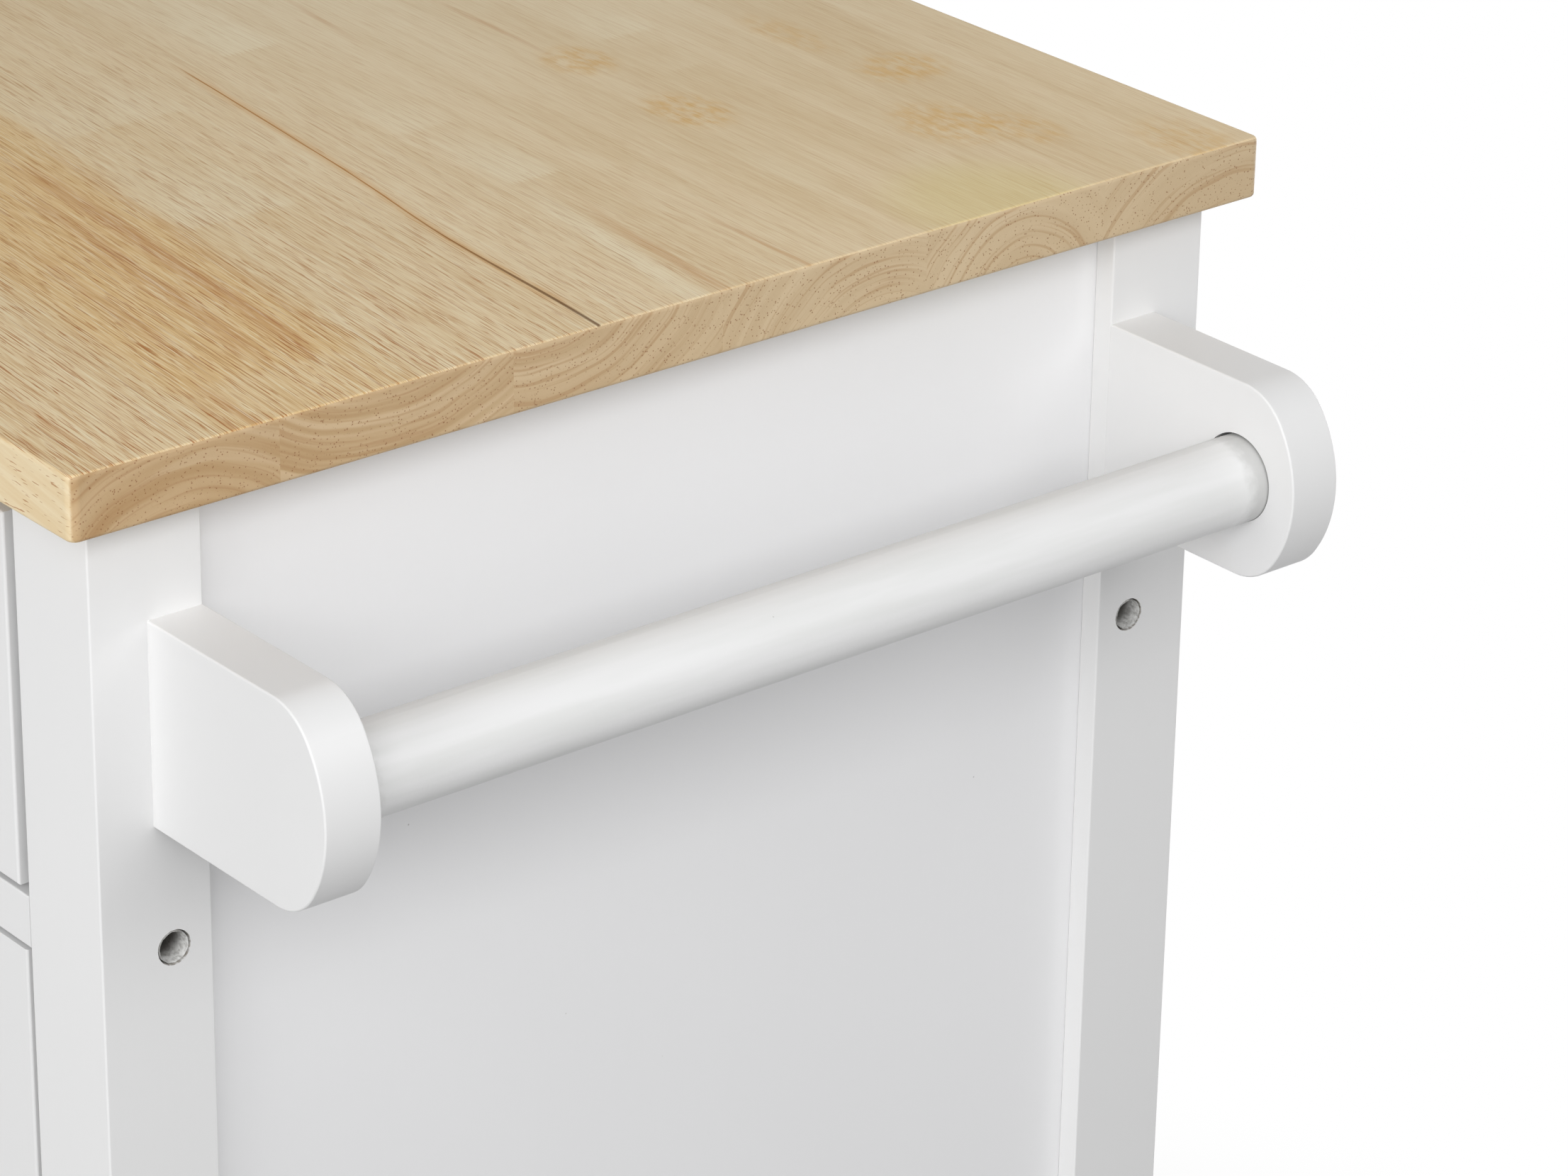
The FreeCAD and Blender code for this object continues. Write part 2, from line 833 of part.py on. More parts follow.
def drawer_bottom_cut():
    """The room that the drawer's thin bottom takes in its grooves."""
    x_limit = drawer_half_width - drawer_side_thickness + drawer_groove_depth + groove_clearance
    y_limits = (
        drawer_box_front_y - drawer_groove_depth - groove_clearance,
        drawer_box_rear_y + cut_overrun,
    )
    z_limits = (drawer_floor - groove_clearance, drawer_floor + drawer_bottom_thickness)
    return block((-x_limit, x_limit), y_limits, z_limits)


def make_drawer_front():
    """The drawer front, inset between the posts and slightly proud of them."""
    x_limit = opening_half - drawer_side_gap
    y_limits = (drawer_front_y, drawer_box_front_y)
    front = block((-x_limit, x_limit), y_limits, (drawer_front_bottom, drawer_front_top))
    face_limit = drawer_front_y + drawer_front_arris
    face_edges = [edge for edge in front.Edges if edge.BoundBox.YMax < face_limit]
    front = front.makeFillet(drawer_front_arris, face_edges)
    return front.cut([drawer_bottom_cut(), knob_screw_hole(drawer_knob_place(), drawer_front_thickness)])


def make_drawer_side(side):
    """One side of the drawer box."""
    x_limits = (side * (drawer_half_width - drawer_side_thickness), side * drawer_half_width)
    z_limits = (drawer_box_bottom, drawer_box_bottom + drawer_box_height)
    plank = board(x_limits, (drawer_box_front_y, drawer_box_rear_y), z_limits, rail_arris)
    return plank.cut(drawer_bottom_cut())


def make_drawer_back():
    """The back of the drawer box, standing on its bottom."""
    x_limit = drawer_half_width - drawer_side_thickness
    y_limits = (drawer_box_rear_y - drawer_side_thickness, drawer_box_rear_y)
    z_limits = (drawer_floor + drawer_bottom_thickness, drawer_box_bottom + drawer_box_height)
    return block((-x_limit, x_limit), y_limits, z_limits)


def make_drawer_bottom():
    """The drawer's thin bottom in its grooves."""
    x_limit = drawer_half_width - drawer_side_thickness + drawer_groove_depth
    y_limits = (drawer_box_front_y - drawer_groove_depth, drawer_box_rear_y)
    return block((-x_limit, x_limit), y_limits, (drawer_floor, drawer_floor + drawer_bottom_thickness))


# Knobs


def drawer_knob_place():
    """Where the drawer's knob stands on its front."""
    return Vector(0, drawer_front_y, (drawer_front_bottom + drawer_front_top) / 2)


def door_knob_place(side):
    """Where a door's knob stands on its meeting stile."""
    knob_x = side * (door_meeting_gap + door_frame_width) / 2
    return Vector(knob_x, -half_depth, door_top - door_knob_drop)


def knob_screw_sizes(wall):
    """Radius, head radius, head height and length of a knob's screw through a wall."""
    return knob_screw_radius, knob_screw_head_radius, knob_screw_head_height, wall + knob_screw_bite


def knob_screw_hole(place, wall):
    """The countersunk hole of a knob's screw through its door or drawer front."""
    return screw_hole(place + Vector(0, wall, 0), Vector(0, -1, 0), *knob_screw_sizes(wall))


def bowed_arc(first, second, bow):
    """An arc between two profile points with its middle pushed to the left of the way."""
    along = (second - first).normalize()
    sideways = Vector(-along.z, 0, along.x)
    return Part.Arc(first, (first + second) / 2 + sideways * bow, second).toShape()


def make_knob(place, wall):
    """A turned mushroom knob and the screw that holds it from behind."""
    centre = Vector(0, 0, 0)
    base = Vector(knob_base_radius, 0, 0)
    neck = Vector(knob_neck_radius, 0, knob_neck_reach)
    throat = Vector(knob_radius, 0, knob_throat_reach)
    rim = Vector(knob_radius, 0, knob_rim_reach)
    crown = Vector(0, 0, knob_reach)
    rise = knob_reach - knob_rim_reach
    chord_square = rise ** 2 + knob_radius ** 2
    dome_radius = chord_square / (2 * rise)
    dome_bow = dome_radius - math.sqrt(dome_radius ** 2 - chord_square / 4)
    edges = [
        Part.LineSegment(centre, base).toShape(),
        bowed_arc(base, neck, knob_waist_bow),
        bowed_arc(neck, throat, knob_throat_bow),
        Part.LineSegment(throat, rim).toShape(),
        bowed_arc(rim, crown, -dome_bow),
        Part.LineSegment(crown, centre).toShape(),
    ]
    knob = Part.Face(Part.Wire(edges)).revolve(centre, Vector(0, 0, 1), 360)
    knob.Placement = FreeCAD.Placement(place, FreeCAD.Rotation(Vector(0, 0, 1), Vector(0, -1, 0)))
    fixing = screw(place + Vector(0, wall, 0), Vector(0, -1, 0), *knob_screw_sizes(wall))
    return [knob.cut(knob_screw_hole(place, wall)), fixing]


# Doors


def door_x(side):
    """Meeting edge and hinge edge of a door."""
    return side * door_meeting_gap / 2, side * (opening_half - door_hinge_gap)


def door_panel_y():
    """Front and back of the thin panel in the middle of the door frame."""
    middle = -half_depth + door_thickness / 2
    return middle - door_panel_thickness / 2, middle + door_panel_thickness / 2


def door_panel_block(side, grow):
    """The door's panel, or the room for it when it is grown by a clearance."""
    meeting, hinge = door_x(side)
    reach = door_frame_width - door_groove_depth - grow
    x_limits = (meeting + side * reach, hinge - side * reach)
    y_front, y_back = door_panel_y()
    z_limits = (door_bottom + reach, door_top - reach)
    return block(x_limits, (y_front - grow, y_back + grow), z_limits)


def make_door_frame(side):
    """The two stiles and two rails of a door."""
    meeting, hinge = door_x(side)
    y_limits = (-half_depth, door_back_y)
    inner_meeting = meeting + side * door_frame_width
    inner_hinge = hinge - side * door_frame_width
    groove = door_panel_block(side, groove_clearance)
    holes = [groove, knob_screw_hole(door_knob_place(side), door_thickness)]
    low_rail = (door_bottom, door_bottom + door_frame_width)
    high_rail = (door_top - door_frame_width, door_top)
    pieces = [
        board((meeting, inner_meeting), y_limits, (door_bottom, door_top), door_arris),
        board((inner_hinge, hinge), y_limits, (door_bottom, door_top), door_arris),
        board((inner_meeting, inner_hinge), y_limits, low_rail, door_arris),
        board((inner_meeting, inner_hinge), y_limits, high_rail, door_arris),
    ]
    return group([piece.cut(holes) for piece in pieces])


def make_door_panel(side):
    """The thin panel of a door."""
    return door_panel_block(side, 0)


def hinge_axis(side, start_z):
    """Foot of a hinge's axis."""
    return Vector(side * hinge_axis_x, hinge_axis_y, start_z)


def make_hinge_leaf(side, start_z, leaf):
    """A hinge leaf with its knuckles: the post's leaf has the outer ones, the door's the middle one."""
    axis = hinge_axis(side, start_z)
    near = axis.x + side * leaf * hinge_leaf_clearance / 2
    far = near + side * leaf * hinge_leaf_thickness
    plate_y = (-half_depth, -half_depth + hinge_leaf_width)
    pieces = [block((near, far), plate_y, (start_z, start_z + hinge_length))]
    pitch = hinge_length / hinge_knuckle_count
    for index in range(hinge_knuckle_count):
        if (index % 2 == 0) == (leaf > 0):
            low = start_z + pitch * index
            high = low + pitch
            if index > 0:
                low += hinge_knuckle_gap / 2
            if index < hinge_knuckle_count - 1:
                high -= hinge_knuckle_gap / 2
            pieces.append(block((near, far), (axis.y, -half_depth), (low, high)))
            foot = Vector(axis.x, axis.y, low)
            pieces.append(rod(foot, Vector(0, 0, 1), hinge_knuckle_radius, high - low))
    bore_start = axis - Vector(0, 0, cut_overrun)
    bore_length = hinge_length + 2 * cut_overrun
    bore = rod(bore_start, Vector(0, 0, 1), hinge_pin_radius + shaft_clearance, bore_length)
    return joined(pieces).cut(bore)


def make_hinge_leaves(side, leaf):
    """The leaves of one kind on a door's hinges: 1 on the post, -1 on the door."""
    return [make_hinge_leaf(side, start_z, leaf) for start_z in hinge_starts]


def make_hinge_pin(side, start_z):
    """A hinge pin with a button head at each end."""
    axis = hinge_axis(side, start_z)
    end = hinge_length + shaft_clearance
    head = hinge_pin_head_height
    rim = hinge_pin_head_radius
    profile = [
        (0, -shaft_clearance - head),
        (rim / 2, -shaft_clearance - head),
        (rim, -shaft_clearance - head / 2),
        (rim, -shaft_clearance),
        (hinge_pin_radius, -shaft_clearance),
        (hinge_pin_radius, end),
        (rim, end),
        (rim, end + head / 2),
        (rim / 2, end + head),
        (0, end + head),
    ]
    return turned(profile, axis, Vector(0, 0, 1))


def make_catch(side):
    """A magnetic catch under the middle rail, with its two pole plates."""
    centre_x = side * (door_meeting_gap / 2 + catch_offset)
    pole_tip = door_back_y + strike_thickness + strike_gap
    body_y = (pole_tip + catch_pole_reach, pole_tip + catch_pole_reach + catch_depth)
    z_limits = (middle_rail_bottom - catch_height, middle_rail_bottom)
    body_x = (centre_x - catch_length / 2, centre_x + catch_length / 2)
    body = board(body_x, body_y, z_limits, catch_arris)
    pole_z = (z_limits[0] + catch_height / 4, z_limits[1] - catch_height / 4)
    pole_x = (centre_x - catch_pole_width / 2, centre_x + catch_pole_width / 2)
    pole = block(pole_x, (pole_tip, body_y[0]), pole_z)
    return joined([body, pole])


def make_strike(side):
    """The steel plate on a door's back that the magnet holds."""
    centre_x = side * (door_meeting_gap / 2 + catch_offset)
    middle = middle_rail_bottom - catch_height / 2
    x_limits = (centre_x - strike_length / 2, centre_x + strike_length / 2)
    z_limits = (middle - strike_height / 2, middle + strike_height / 2)
    return board(x_limits, (door_back_y, door_back_y + strike_thickness), z_limits, strike_thickness / 4)


# Towel bar


def bracket_outline(base_y):
    """The bracket's outline: a straight base and sides, and a nose of three tangent arcs."""
    half = bracket_height / 2
    nose_centre = bracket_reach - bracket_nose_radius
    corner_z = half - bracket_corner_radius
    between_centres = bracket_nose_radius - bracket_corner_radius
    corner_x = nose_centre + math.sqrt(between_centres ** 2 - corner_z ** 2)
    lean = math.atan2(corner_z, corner_x - nose_centre)
    middle_lean = (math.pi / 2 + lean) / 2

    def at(across, height):
        return Vector(half_length + across, base_y, bracket_centre_z + height)

    def on_corner(angle, sign):
        across = corner_x + bracket_corner_radius * math.cos(angle)
        height = corner_z + bracket_corner_radius * math.sin(angle)
        return at(across, sign * height)

    nose = at(bracket_reach, 0)
    edges = [
        Part.LineSegment(at(0, -half), at(0, half)).toShape(),
        Part.LineSegment(at(0, half), at(corner_x, half)).toShape(),
        Part.Arc(at(corner_x, half), on_corner(middle_lean, 1), on_corner(lean, 1)).toShape(),
        Part.Arc(on_corner(lean, 1), nose, on_corner(lean, -1)).toShape(),
        Part.Arc(on_corner(lean, -1), on_corner(middle_lean, -1), at(corner_x, -half)).toShape(),
        Part.LineSegment(at(corner_x, -half), at(0, -half)).toShape(),
    ]
    return Part.Face(Part.Wire(edges))


def make_bracket(end):
    """A towel bar bracket on a right-hand post, level with the post's inner edge."""
    inner_y = end * post_inner_y
    outward = Vector(0, end * bracket_thickness, 0)
    solid = bracket_outline(inner_y).extrude(outward)
    rims = []
    for edge in solid.Edges:
        if edge.BoundBox.YLength < bracket_arris and edge.BoundBox.XMax > half_length + bracket_arris:
            rims.append(edge)
    solid = solid.makeFillet(bracket_arris, rims)
    seat_start = Vector(towel_bar_x, inner_y - end * cut_overrun, bracket_centre_z + towel_bar_settle)
    seat_depth = towel_bar_seat_depth + cut_overrun
    seat = rod(seat_start, Vector(0, end, 0), towel_bar_radius + towel_bar_clearance, seat_depth)
    return solid.cut([seat] + bracket_screw_holes(end))


def make_towel_bar():
    """The round towel bar, resting low in the roomy seats of its two brackets."""
    half_bar = post_inner_y + towel_bar_seat_depth
    start = Vector(towel_bar_x, -half_bar, bracket_centre_z)
    return rod(start, Vector(0, 1, 0), towel_bar_radius, 2 * half_bar)


# Casters, modelled with the swivel axis at zero and the wheel trailing along +X


def make_insert(place):
    """The threaded insert that is driven into a post's foot."""
    profile = [
        (stem_thread_radius + shaft_clearance, 0),
        (insert_radius, 0),
        (insert_radius, insert_length),
        (stem_thread_radius + shaft_clearance, insert_length),
    ]
    return turned(profile, place + Vector(0, 0, post_bottom), Vector(0, 0, 1))


def make_stem(place):
    """The threaded stem with its collar, and the kingpin that the fork turns on."""
    head_top = crown_bottom - swivel_gap
    profile = [
        (0, head_top - kingpin_head_thickness),
        (kingpin_head_radius, head_top - kingpin_head_thickness),
        (kingpin_head_radius, head_top),
        (kingpin_radius, head_top),
        (kingpin_radius, post_bottom - stem_collar_thickness),
        (stem_collar_radius, post_bottom - stem_collar_thickness),
        (stem_collar_radius, post_bottom),
        (stem_thread_radius, post_bottom),
        (stem_thread_radius, post_bottom + stem_thread_length),
        (0, post_bottom + stem_thread_length),
    ]
    return turned(profile, place, Vector(0, 0, 1))


def tangent_outline(circles):
    """A closed face round a chain of circles, each given as trail, height and radius."""
    faces = []
    for trail, height, radius in circles:
        centre = Vector(trail, 0, height)
        faces.append(Part.Face(Part.Wire(Part.makeCircle(radius, centre, Vector(0, 1, 0)))))
    for first, second in zip(circles, circles[1:]):
        gap = Vector(second[0] - first[0], 0, second[1] - first[1])
        lean = math.acos((first[2] - second[2]) / gap.Length)
        heading = math.atan2(gap.z, gap.x)
        corners = []
        for circle, sign in ((first, 1), (second, 1), (second, -1), (first, -1)):
            trail, height, radius = circle
            angle = heading + sign * lean
            reach = Vector(radius * math.cos(angle), 0, radius * math.sin(angle))
            corners.append(Vector(trail, 0, height) + reach)
        faces.append(outline(corners))
    return faces[0].fuse(faces[1:]).removeSplitter()


def fork_arm_face(braked):
    """The outline of a fork arm, from the crown down to the axle."""
    shoulder = fork_crown_height / 2
    shoulder_z = crown_top - shoulder
    circles = [
        (caster_trail, wheel_radius, fork_axle_boss_radius),
        (caster_trail / 4, shoulder_z, shoulder),
        (-fork_crown_radius / 2, shoulder_z, shoulder),
    ]
    face = tangent_outline(circles)
    if braked:
        ear = [
            (caster_trail, wheel_radius, fork_axle_boss_radius),
            (brake_pivot_trail, brake_pivot_z, brake_barrel_radius),
            (caster_trail / 4, shoulder_z, shoulder),
        ]
        web = outline([Vector(trail, 0, height) for trail, height, radius in ear])
        face = face.fuse([tangent_outline(ear), web]).removeSplitter()
    return face


def make_fork(braked):
    """The pressed fork: a round crown, two arms and a guard over the wheel's leading side."""
    crown_profile = [
        (0, crown_bottom),
        (fork_crown_radius, crown_bottom),
        (fork_crown_radius, crown_top - fork_crown_edge),
        (fork_crown_radius - fork_crown_edge, crown_top),
        (0, crown_top),
    ]
    pieces = [turned(crown_profile, Vector(0, 0, 0), Vector(0, 0, 1))]
    arm_face = fork_arm_face(braked)
    for side in (-1, 1):
        arm = arm_face.copy()
        arm.translate(Vector(0, arm_inner if side > 0 else -arm_outer, 0))
        pieces += arm.extrude(Vector(0, fork_arm_thickness, 0)).Solids
    guard_inner = wheel_radius + fork_guard_gap
    guard_outer = guard_inner + fork_guard_thickness
    axle_centre = Vector(caster_trail, 0, wheel_radius)
    guard = guard_ring(axle_centre, guard_inner, guard_outer)
    pieces.append(guard)
    fork = joined(pieces)
    bore_start = Vector(0, 0, crown_bottom - cut_overrun)
    bore_length = fork_crown_height + 2 * cut_overrun
    axle_start = axle_centre - Vector(0, arm_outer + cut_overrun, 0)
    across = 2 * (arm_outer + cut_overrun)
    holes = [
        rod(bore_start, Vector(0, 0, 1), kingpin_radius + shaft_clearance, bore_length),
        rod(axle_start, Vector(0, 1, 0), axle_radius + shaft_clearance, across),
        kingpin_room(),
        wheel_room(axle_centre),
    ]
    if braked:
        pin_start = Vector(brake_pivot_trail, -arm_outer - cut_overrun, brake_pivot_z)
        holes.append(rod(pin_start, Vector(0, 1, 0), brake_pin_radius + shaft_clearance, across))
        holes.append(brake_room())
    return fork.cut(holes)


def guard_ring(centre, inner, outer):
    """The curved guard between the fork's arms, concentric with the wheel."""
    def on_ring(radius, degrees):
        angle = math.radians(degrees)
        return centre + Vector(radius * math.cos(angle), 0, radius * math.sin(angle))

    first = fork_guard_start_angle
    last = fork_guard_end_angle
    middle = (first + last) / 2
    edges = [
        Part.Arc(on_ring(outer, first), on_ring(outer, middle), on_ring(outer, last)).toShape(),
        Part.LineSegment(on_ring(outer, last), on_ring(inner, last)).toShape(),
        Part.Arc(on_ring(inner, last), on_ring(inner, middle), on_ring(inner, first)).toShape(),
        Part.LineSegment(on_ring(inner, first), on_ring(outer, first)).toShape(),
    ]
    face = Part.Face(Part.Wire(edges))
    face.translate(Vector(0, -arm_outer, 0))
    return face.extrude(Vector(0, 2 * arm_outer, 0))


def kingpin_room():
    """The room under the crown for the kingpin's head."""
    head_room = kingpin_head_radius + wheel_side_gap
    depth = 2 * swivel_gap + kingpin_head_thickness
    return rod(Vector(0, 0, crown_bottom - depth), Vector(0, 0, 1), head_room, depth)


def wheel_room(axle_centre):
    """The room between the arms that the wheel turns in."""
    start = axle_centre - Vector(0, arm_inner, 0)
    return rod(start, Vector(0, 1, 0), wheel_radius + wheel_side_gap, 2 * arm_inner)


def brake_room():
    """The room between the arms that the brake lever's barrel moves in."""
    start = Vector(brake_pivot_trail, -arm_inner, brake_pivot_z)
    return rod(start, Vector(0, 1, 0), brake_barrel_radius + wheel_side_gap, 2 * arm_inner)


def riveted_pin(centre, radius, head_radius, head_thickness):
    """A pin through both fork arms with a domed head on each side."""
    edge = arm_outer + shaft_clearance
    profile = [
        (0, -edge - head_thickness),
        (head_radius / 2, -edge - head_thickness),
        (head_radius, -edge - head_thickness / 3),
        (head_radius, -edge),
        (radius, -edge),
        (radius, edge),
        (head_radius, edge),
        (head_radius, edge + head_thickness / 3),
        (head_radius / 2, edge + head_thickness),
        (0, edge + head_thickness),
    ]
    return turned(profile, centre, Vector(0, 1, 0))


def make_wheel():
    """A moulded wheel with a rounded tread, dished sides and a hub."""
    half = wheel_width / 2
    bore = axle_radius + shaft_clearance
    rim = wheel_radius - wheel_rim_depth
    dish = half - wheel_dish_depth
    slope = wheel_dish_depth / 2
    profile = [
        (bore, -half),
        (wheel_hub_radius, -half),
        (wheel_hub_radius + slope / 2, -dish),
        (rim - slope / 2, -dish),
        (rim, -half),
        (wheel_radius - wheel_tread_edge, -half),
        (wheel_radius - wheel_tread_edge / 3, -half + wheel_tread_edge / 3),
        (wheel_radius, -half + wheel_tread_edge),
        (wheel_radius, half - wheel_tread_edge),
        (wheel_radius - wheel_tread_edge / 3, half - wheel_tread_edge / 3),
        (wheel_radius - wheel_tread_edge, half),
        (rim, half),
        (rim - slope / 2, dish),
        (wheel_hub_radius + slope / 2, dish),
        (wheel_hub_radius, half),
        (bore, half),
    ]
    return turned(profile, Vector(caster_trail, 0, wheel_radius), Vector(0, 1, 0))


def make_brake_lever():
    """The brake pedal: a barrel on its pin, a sloping pedal, and a shoe above the tread."""
    half = arm_inner - brake_side_gap
    shoe_angle = math.radians(brake_shoe_angle)
    shoe_reach = wheel_radius + brake_lift
    shoe_tip = Vector(caster_trail + shoe_reach * math.cos(shoe_angle), -half,
                      wheel_radius + shoe_reach * math.sin(shoe_angle))
    top = brake_pivot_z + brake_barrel_radius
    under = top - brake_pedal_thickness
    tip_top = top - brake_pedal_drop
    pedal = [
        Vector(brake_pivot_trail, -half, top),
        Vector(brake_pedal_trail, -half, tip_top),
        Vector(brake_pedal_trail, -half, tip_top - brake_pedal_thickness),
        Vector(shoe_tip.x + brake_shoe_width, -half, under),
        Vector(shoe_tip.x + brake_shoe_width, -half, shoe_tip.z),
        shoe_tip,
        Vector(brake_pivot_trail, -half, brake_pivot_z - brake_barrel_radius),
    ]
    body = outline(pedal).extrude(Vector(0, 2 * half, 0))
    shoe_end = shoe_tip.x + brake_shoe_width
    tip_edges = [edge for edge in edges_along(body, Vector(0, 1, 0)) if edge.BoundBox.XMin > shoe_end]
    body = body.makeFillet(brake_tip_radius, tip_edges)
    barrel_start = Vector(brake_pivot_trail, -half, brake_pivot_z)
    barrel = rod(barrel_start, Vector(0, 1, 0), brake_barrel_radius, 2 * half)
    bore = rod(barrel_start, Vector(0, 1, 0), brake_pin_radius + shaft_clearance, 2 * half)
    return joined([body, barrel]).cut(bore)


def caster_places():
    """Name, place, turn about the swivel axis and brake of every caster."""
    return [
        ("front_left", Vector(-caster_x, -caster_y, 0), 0, True),
        ("front_right", Vector(caster_x, -caster_y, 0), 180, True),
        ("rear_left", Vector(-caster_x, caster_y, 0), -90, False),
        ("rear_right", Vector(caster_x, caster_y, 0), -90, False),
    ]


def set_caster(solid, place, turn):
    """Turn a caster piece about its swivel axis and put it under its post."""
    moved = solid.copy()
    moved.rotate(Vector(0, 0, 0), Vector(0, 0, 1), turn)
    moved.translate(place)
    return moved


def save_casters():
    """Every caster's stem, insert, fork with its pins, wheel and brake lever."""
    stems = []
    inserts = []
    axle_centre = Vector(caster_trail, 0, wheel_radius)
    axle = riveted_pin(axle_centre, axle_radius, axle_head_radius, axle_head_thickness)
    brake_pin = riveted_pin(Vector(brake_pivot_trail, 0, brake_pivot_z), brake_pin_radius,
                            brake_barrel_radius, axle_head_thickness)
    wheel = make_wheel()
    lever = make_brake_lever()
    for name, place, turn, braked in caster_places():
        stems.append(make_stem(place))
        inserts.append(make_insert(place))
        fork_pieces = [make_fork(braked), axle]
        if braked:
            fork_pieces.append(brake_pin)
            save("caster_brake_" + name, set_caster(lever, place, turn))
        save("caster_fork_" + name, group([set_caster(piece, place, turn) for piece in fork_pieces]))
        save("caster_wheel_" + name, set_caster(wheel, place, turn))
    save("caster_stems", group(stems))
    save("caster_inserts", group(inserts))


# Building the whole cart


def save_carcass():
    """Worktop, posts, rails, panels, battens and their fasteners."""
    save("worktop", make_worktop())
    for side, side_name in ((-1, "left"), (1, "right")):
        for end, end_name in ((-1, "front"), (1, "rear")):
            save("post_" + end_name + "_" + side_name, make_post(side, end))
        save("side_panel_" + side_name, make_side_panel(side))
    save("back_panel", make_back_panel())
    save("bottom_panel", make_bottom_panel())
    save("support_battens", make_battens())
    middle_limits = (middle_rail_bottom, middle_rail_top)
    bottom_limits = (bottom_rail_bottom, bottom_rail_top)
    save("front_rails", group([front_rail(middle_limits), front_rail(bottom_limits)]))
    save("rear_rails", group([rear_rail(middle_bolt_z), rear_rail(bottom_bolt_z)]))
    front_y = front_top_rail_y
    front_limits = (front_y - front_top_rail_depth / 2, front_y + front_top_rail_depth / 2)
    save("front_top_rail", top_rail(front_limits))
    save("rear_top_rail", top_rail((back_inner_y - rear_rail_depth, back_inner_y)))
    save("rail_bolts", group([make_rail_bolt(*bolt_end) for bolt_end in bolt_ends()]))
    save("rail_barrel_nuts", group([make_barrel_nut(*bolt_end) for bolt_end in bolt_ends()]))
    save("top_rail_dowels", group([make_dowel(centre) for side, centre in dowel_places()]))
    save("shelf", make_shelf())
    save("shelf_pins", make_shelf_pins())
    screws = [screw(place, Vector(0, 0, 1), *worktop_screw_sizes()) for place in worktop_screw_places()]
    for end in (-1, 1):
        for place in bracket_screw_places(end):
            screws.append(screw(place, Vector(1, 0, 0), *bracket_screw_sizes()))
    save("wood_screws", group(screws))


def save_drawer():
    """The drawer box, its front and knob, and its roller slides."""
    save("drawer_front", make_drawer_front())
    save("drawer_back", make_drawer_back())
    save("drawer_bottom", make_drawer_bottom())
    save("drawer_knob", group(make_knob(drawer_knob_place(), drawer_front_thickness)))
    cabinet_members = []
    drawer_members = []
    for side, side_name in ((-1, "left"), (1, "right")):
        save("drawer_side_" + side_name, make_drawer_side(side))
        cabinet_members += make_cabinet_slide(side)
        drawer_members += make_drawer_slide(side)
        save("slide_roller_front_" + side_name, make_roller(side, opening_half, -1, front_roller_y))
        save("slide_roller_rear_" + side_name, make_roller(side, drawer_half_width, 1, rear_roller_y))
    save("cabinet_slides", group(cabinet_members))
    save("drawer_slides", group(drawer_members))


def save_doors():
    """Both doors with their hinges, knobs, catches and strike plates."""
    post_leaves = []
    pins = []
    for side, side_name in ((-1, "left"), (1, "right")):
        name = "door_" + side_name
        save(name + "_frame", make_door_frame(side))
        save(name + "_panel", make_door_panel(side))
        save(name + "_hinge_leaves", group(make_hinge_leaves(side, -1)))
        save(name + "_knob", group(make_knob(door_knob_place(side), door_thickness)))
        save(name + "_strike", make_strike(side))
        post_leaves += make_hinge_leaves(side, 1)
        pins += [make_hinge_pin(side, start_z) for start_z in hinge_starts]
    save("post_hinge_leaves", group(post_leaves))
    save("hinge_pins", group(pins))
    save("magnetic_catches", group([make_catch(side) for side in (-1, 1)]))


def save_towel_bar():
    """The towel bar and its brackets."""
    save("towel_bracket_front", make_bracket(-1))
    save("towel_bracket_rear", make_bracket(1))
    save("towel_bar", make_towel_bar())


save_carcass()
save_drawer()
save_doors()
save_towel_bar()
save_casters()
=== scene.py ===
"""Looks of a kitchen cart: camera, light, floor, finishes and small fittings.

Lengths are in metres. Inside the finishes, and in the tables of strips, holes and screws, places
are in millimetres.
"""
import math

import bmesh
import bpy
from mathutils import Matrix, Vector, noise


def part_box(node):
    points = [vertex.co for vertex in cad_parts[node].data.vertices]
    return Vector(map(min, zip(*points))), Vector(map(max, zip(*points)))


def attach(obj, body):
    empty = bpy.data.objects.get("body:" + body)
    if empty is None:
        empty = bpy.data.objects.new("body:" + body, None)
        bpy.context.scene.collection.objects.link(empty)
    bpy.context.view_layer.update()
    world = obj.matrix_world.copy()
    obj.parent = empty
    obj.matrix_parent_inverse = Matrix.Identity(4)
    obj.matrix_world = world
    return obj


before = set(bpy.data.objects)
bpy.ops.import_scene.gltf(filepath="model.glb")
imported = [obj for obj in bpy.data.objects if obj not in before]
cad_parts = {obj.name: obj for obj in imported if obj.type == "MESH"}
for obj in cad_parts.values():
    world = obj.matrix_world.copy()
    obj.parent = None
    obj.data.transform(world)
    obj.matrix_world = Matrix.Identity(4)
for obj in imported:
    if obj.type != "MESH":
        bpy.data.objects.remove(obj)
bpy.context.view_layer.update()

MM_PER_M = 1000

# Shader helpers

# The colour sockets of a Mix node, which share their names with others
MIX_FACTOR, MIX_FIRST, MIX_SECOND, MIX_RESULT = 0, 6, 7, 2


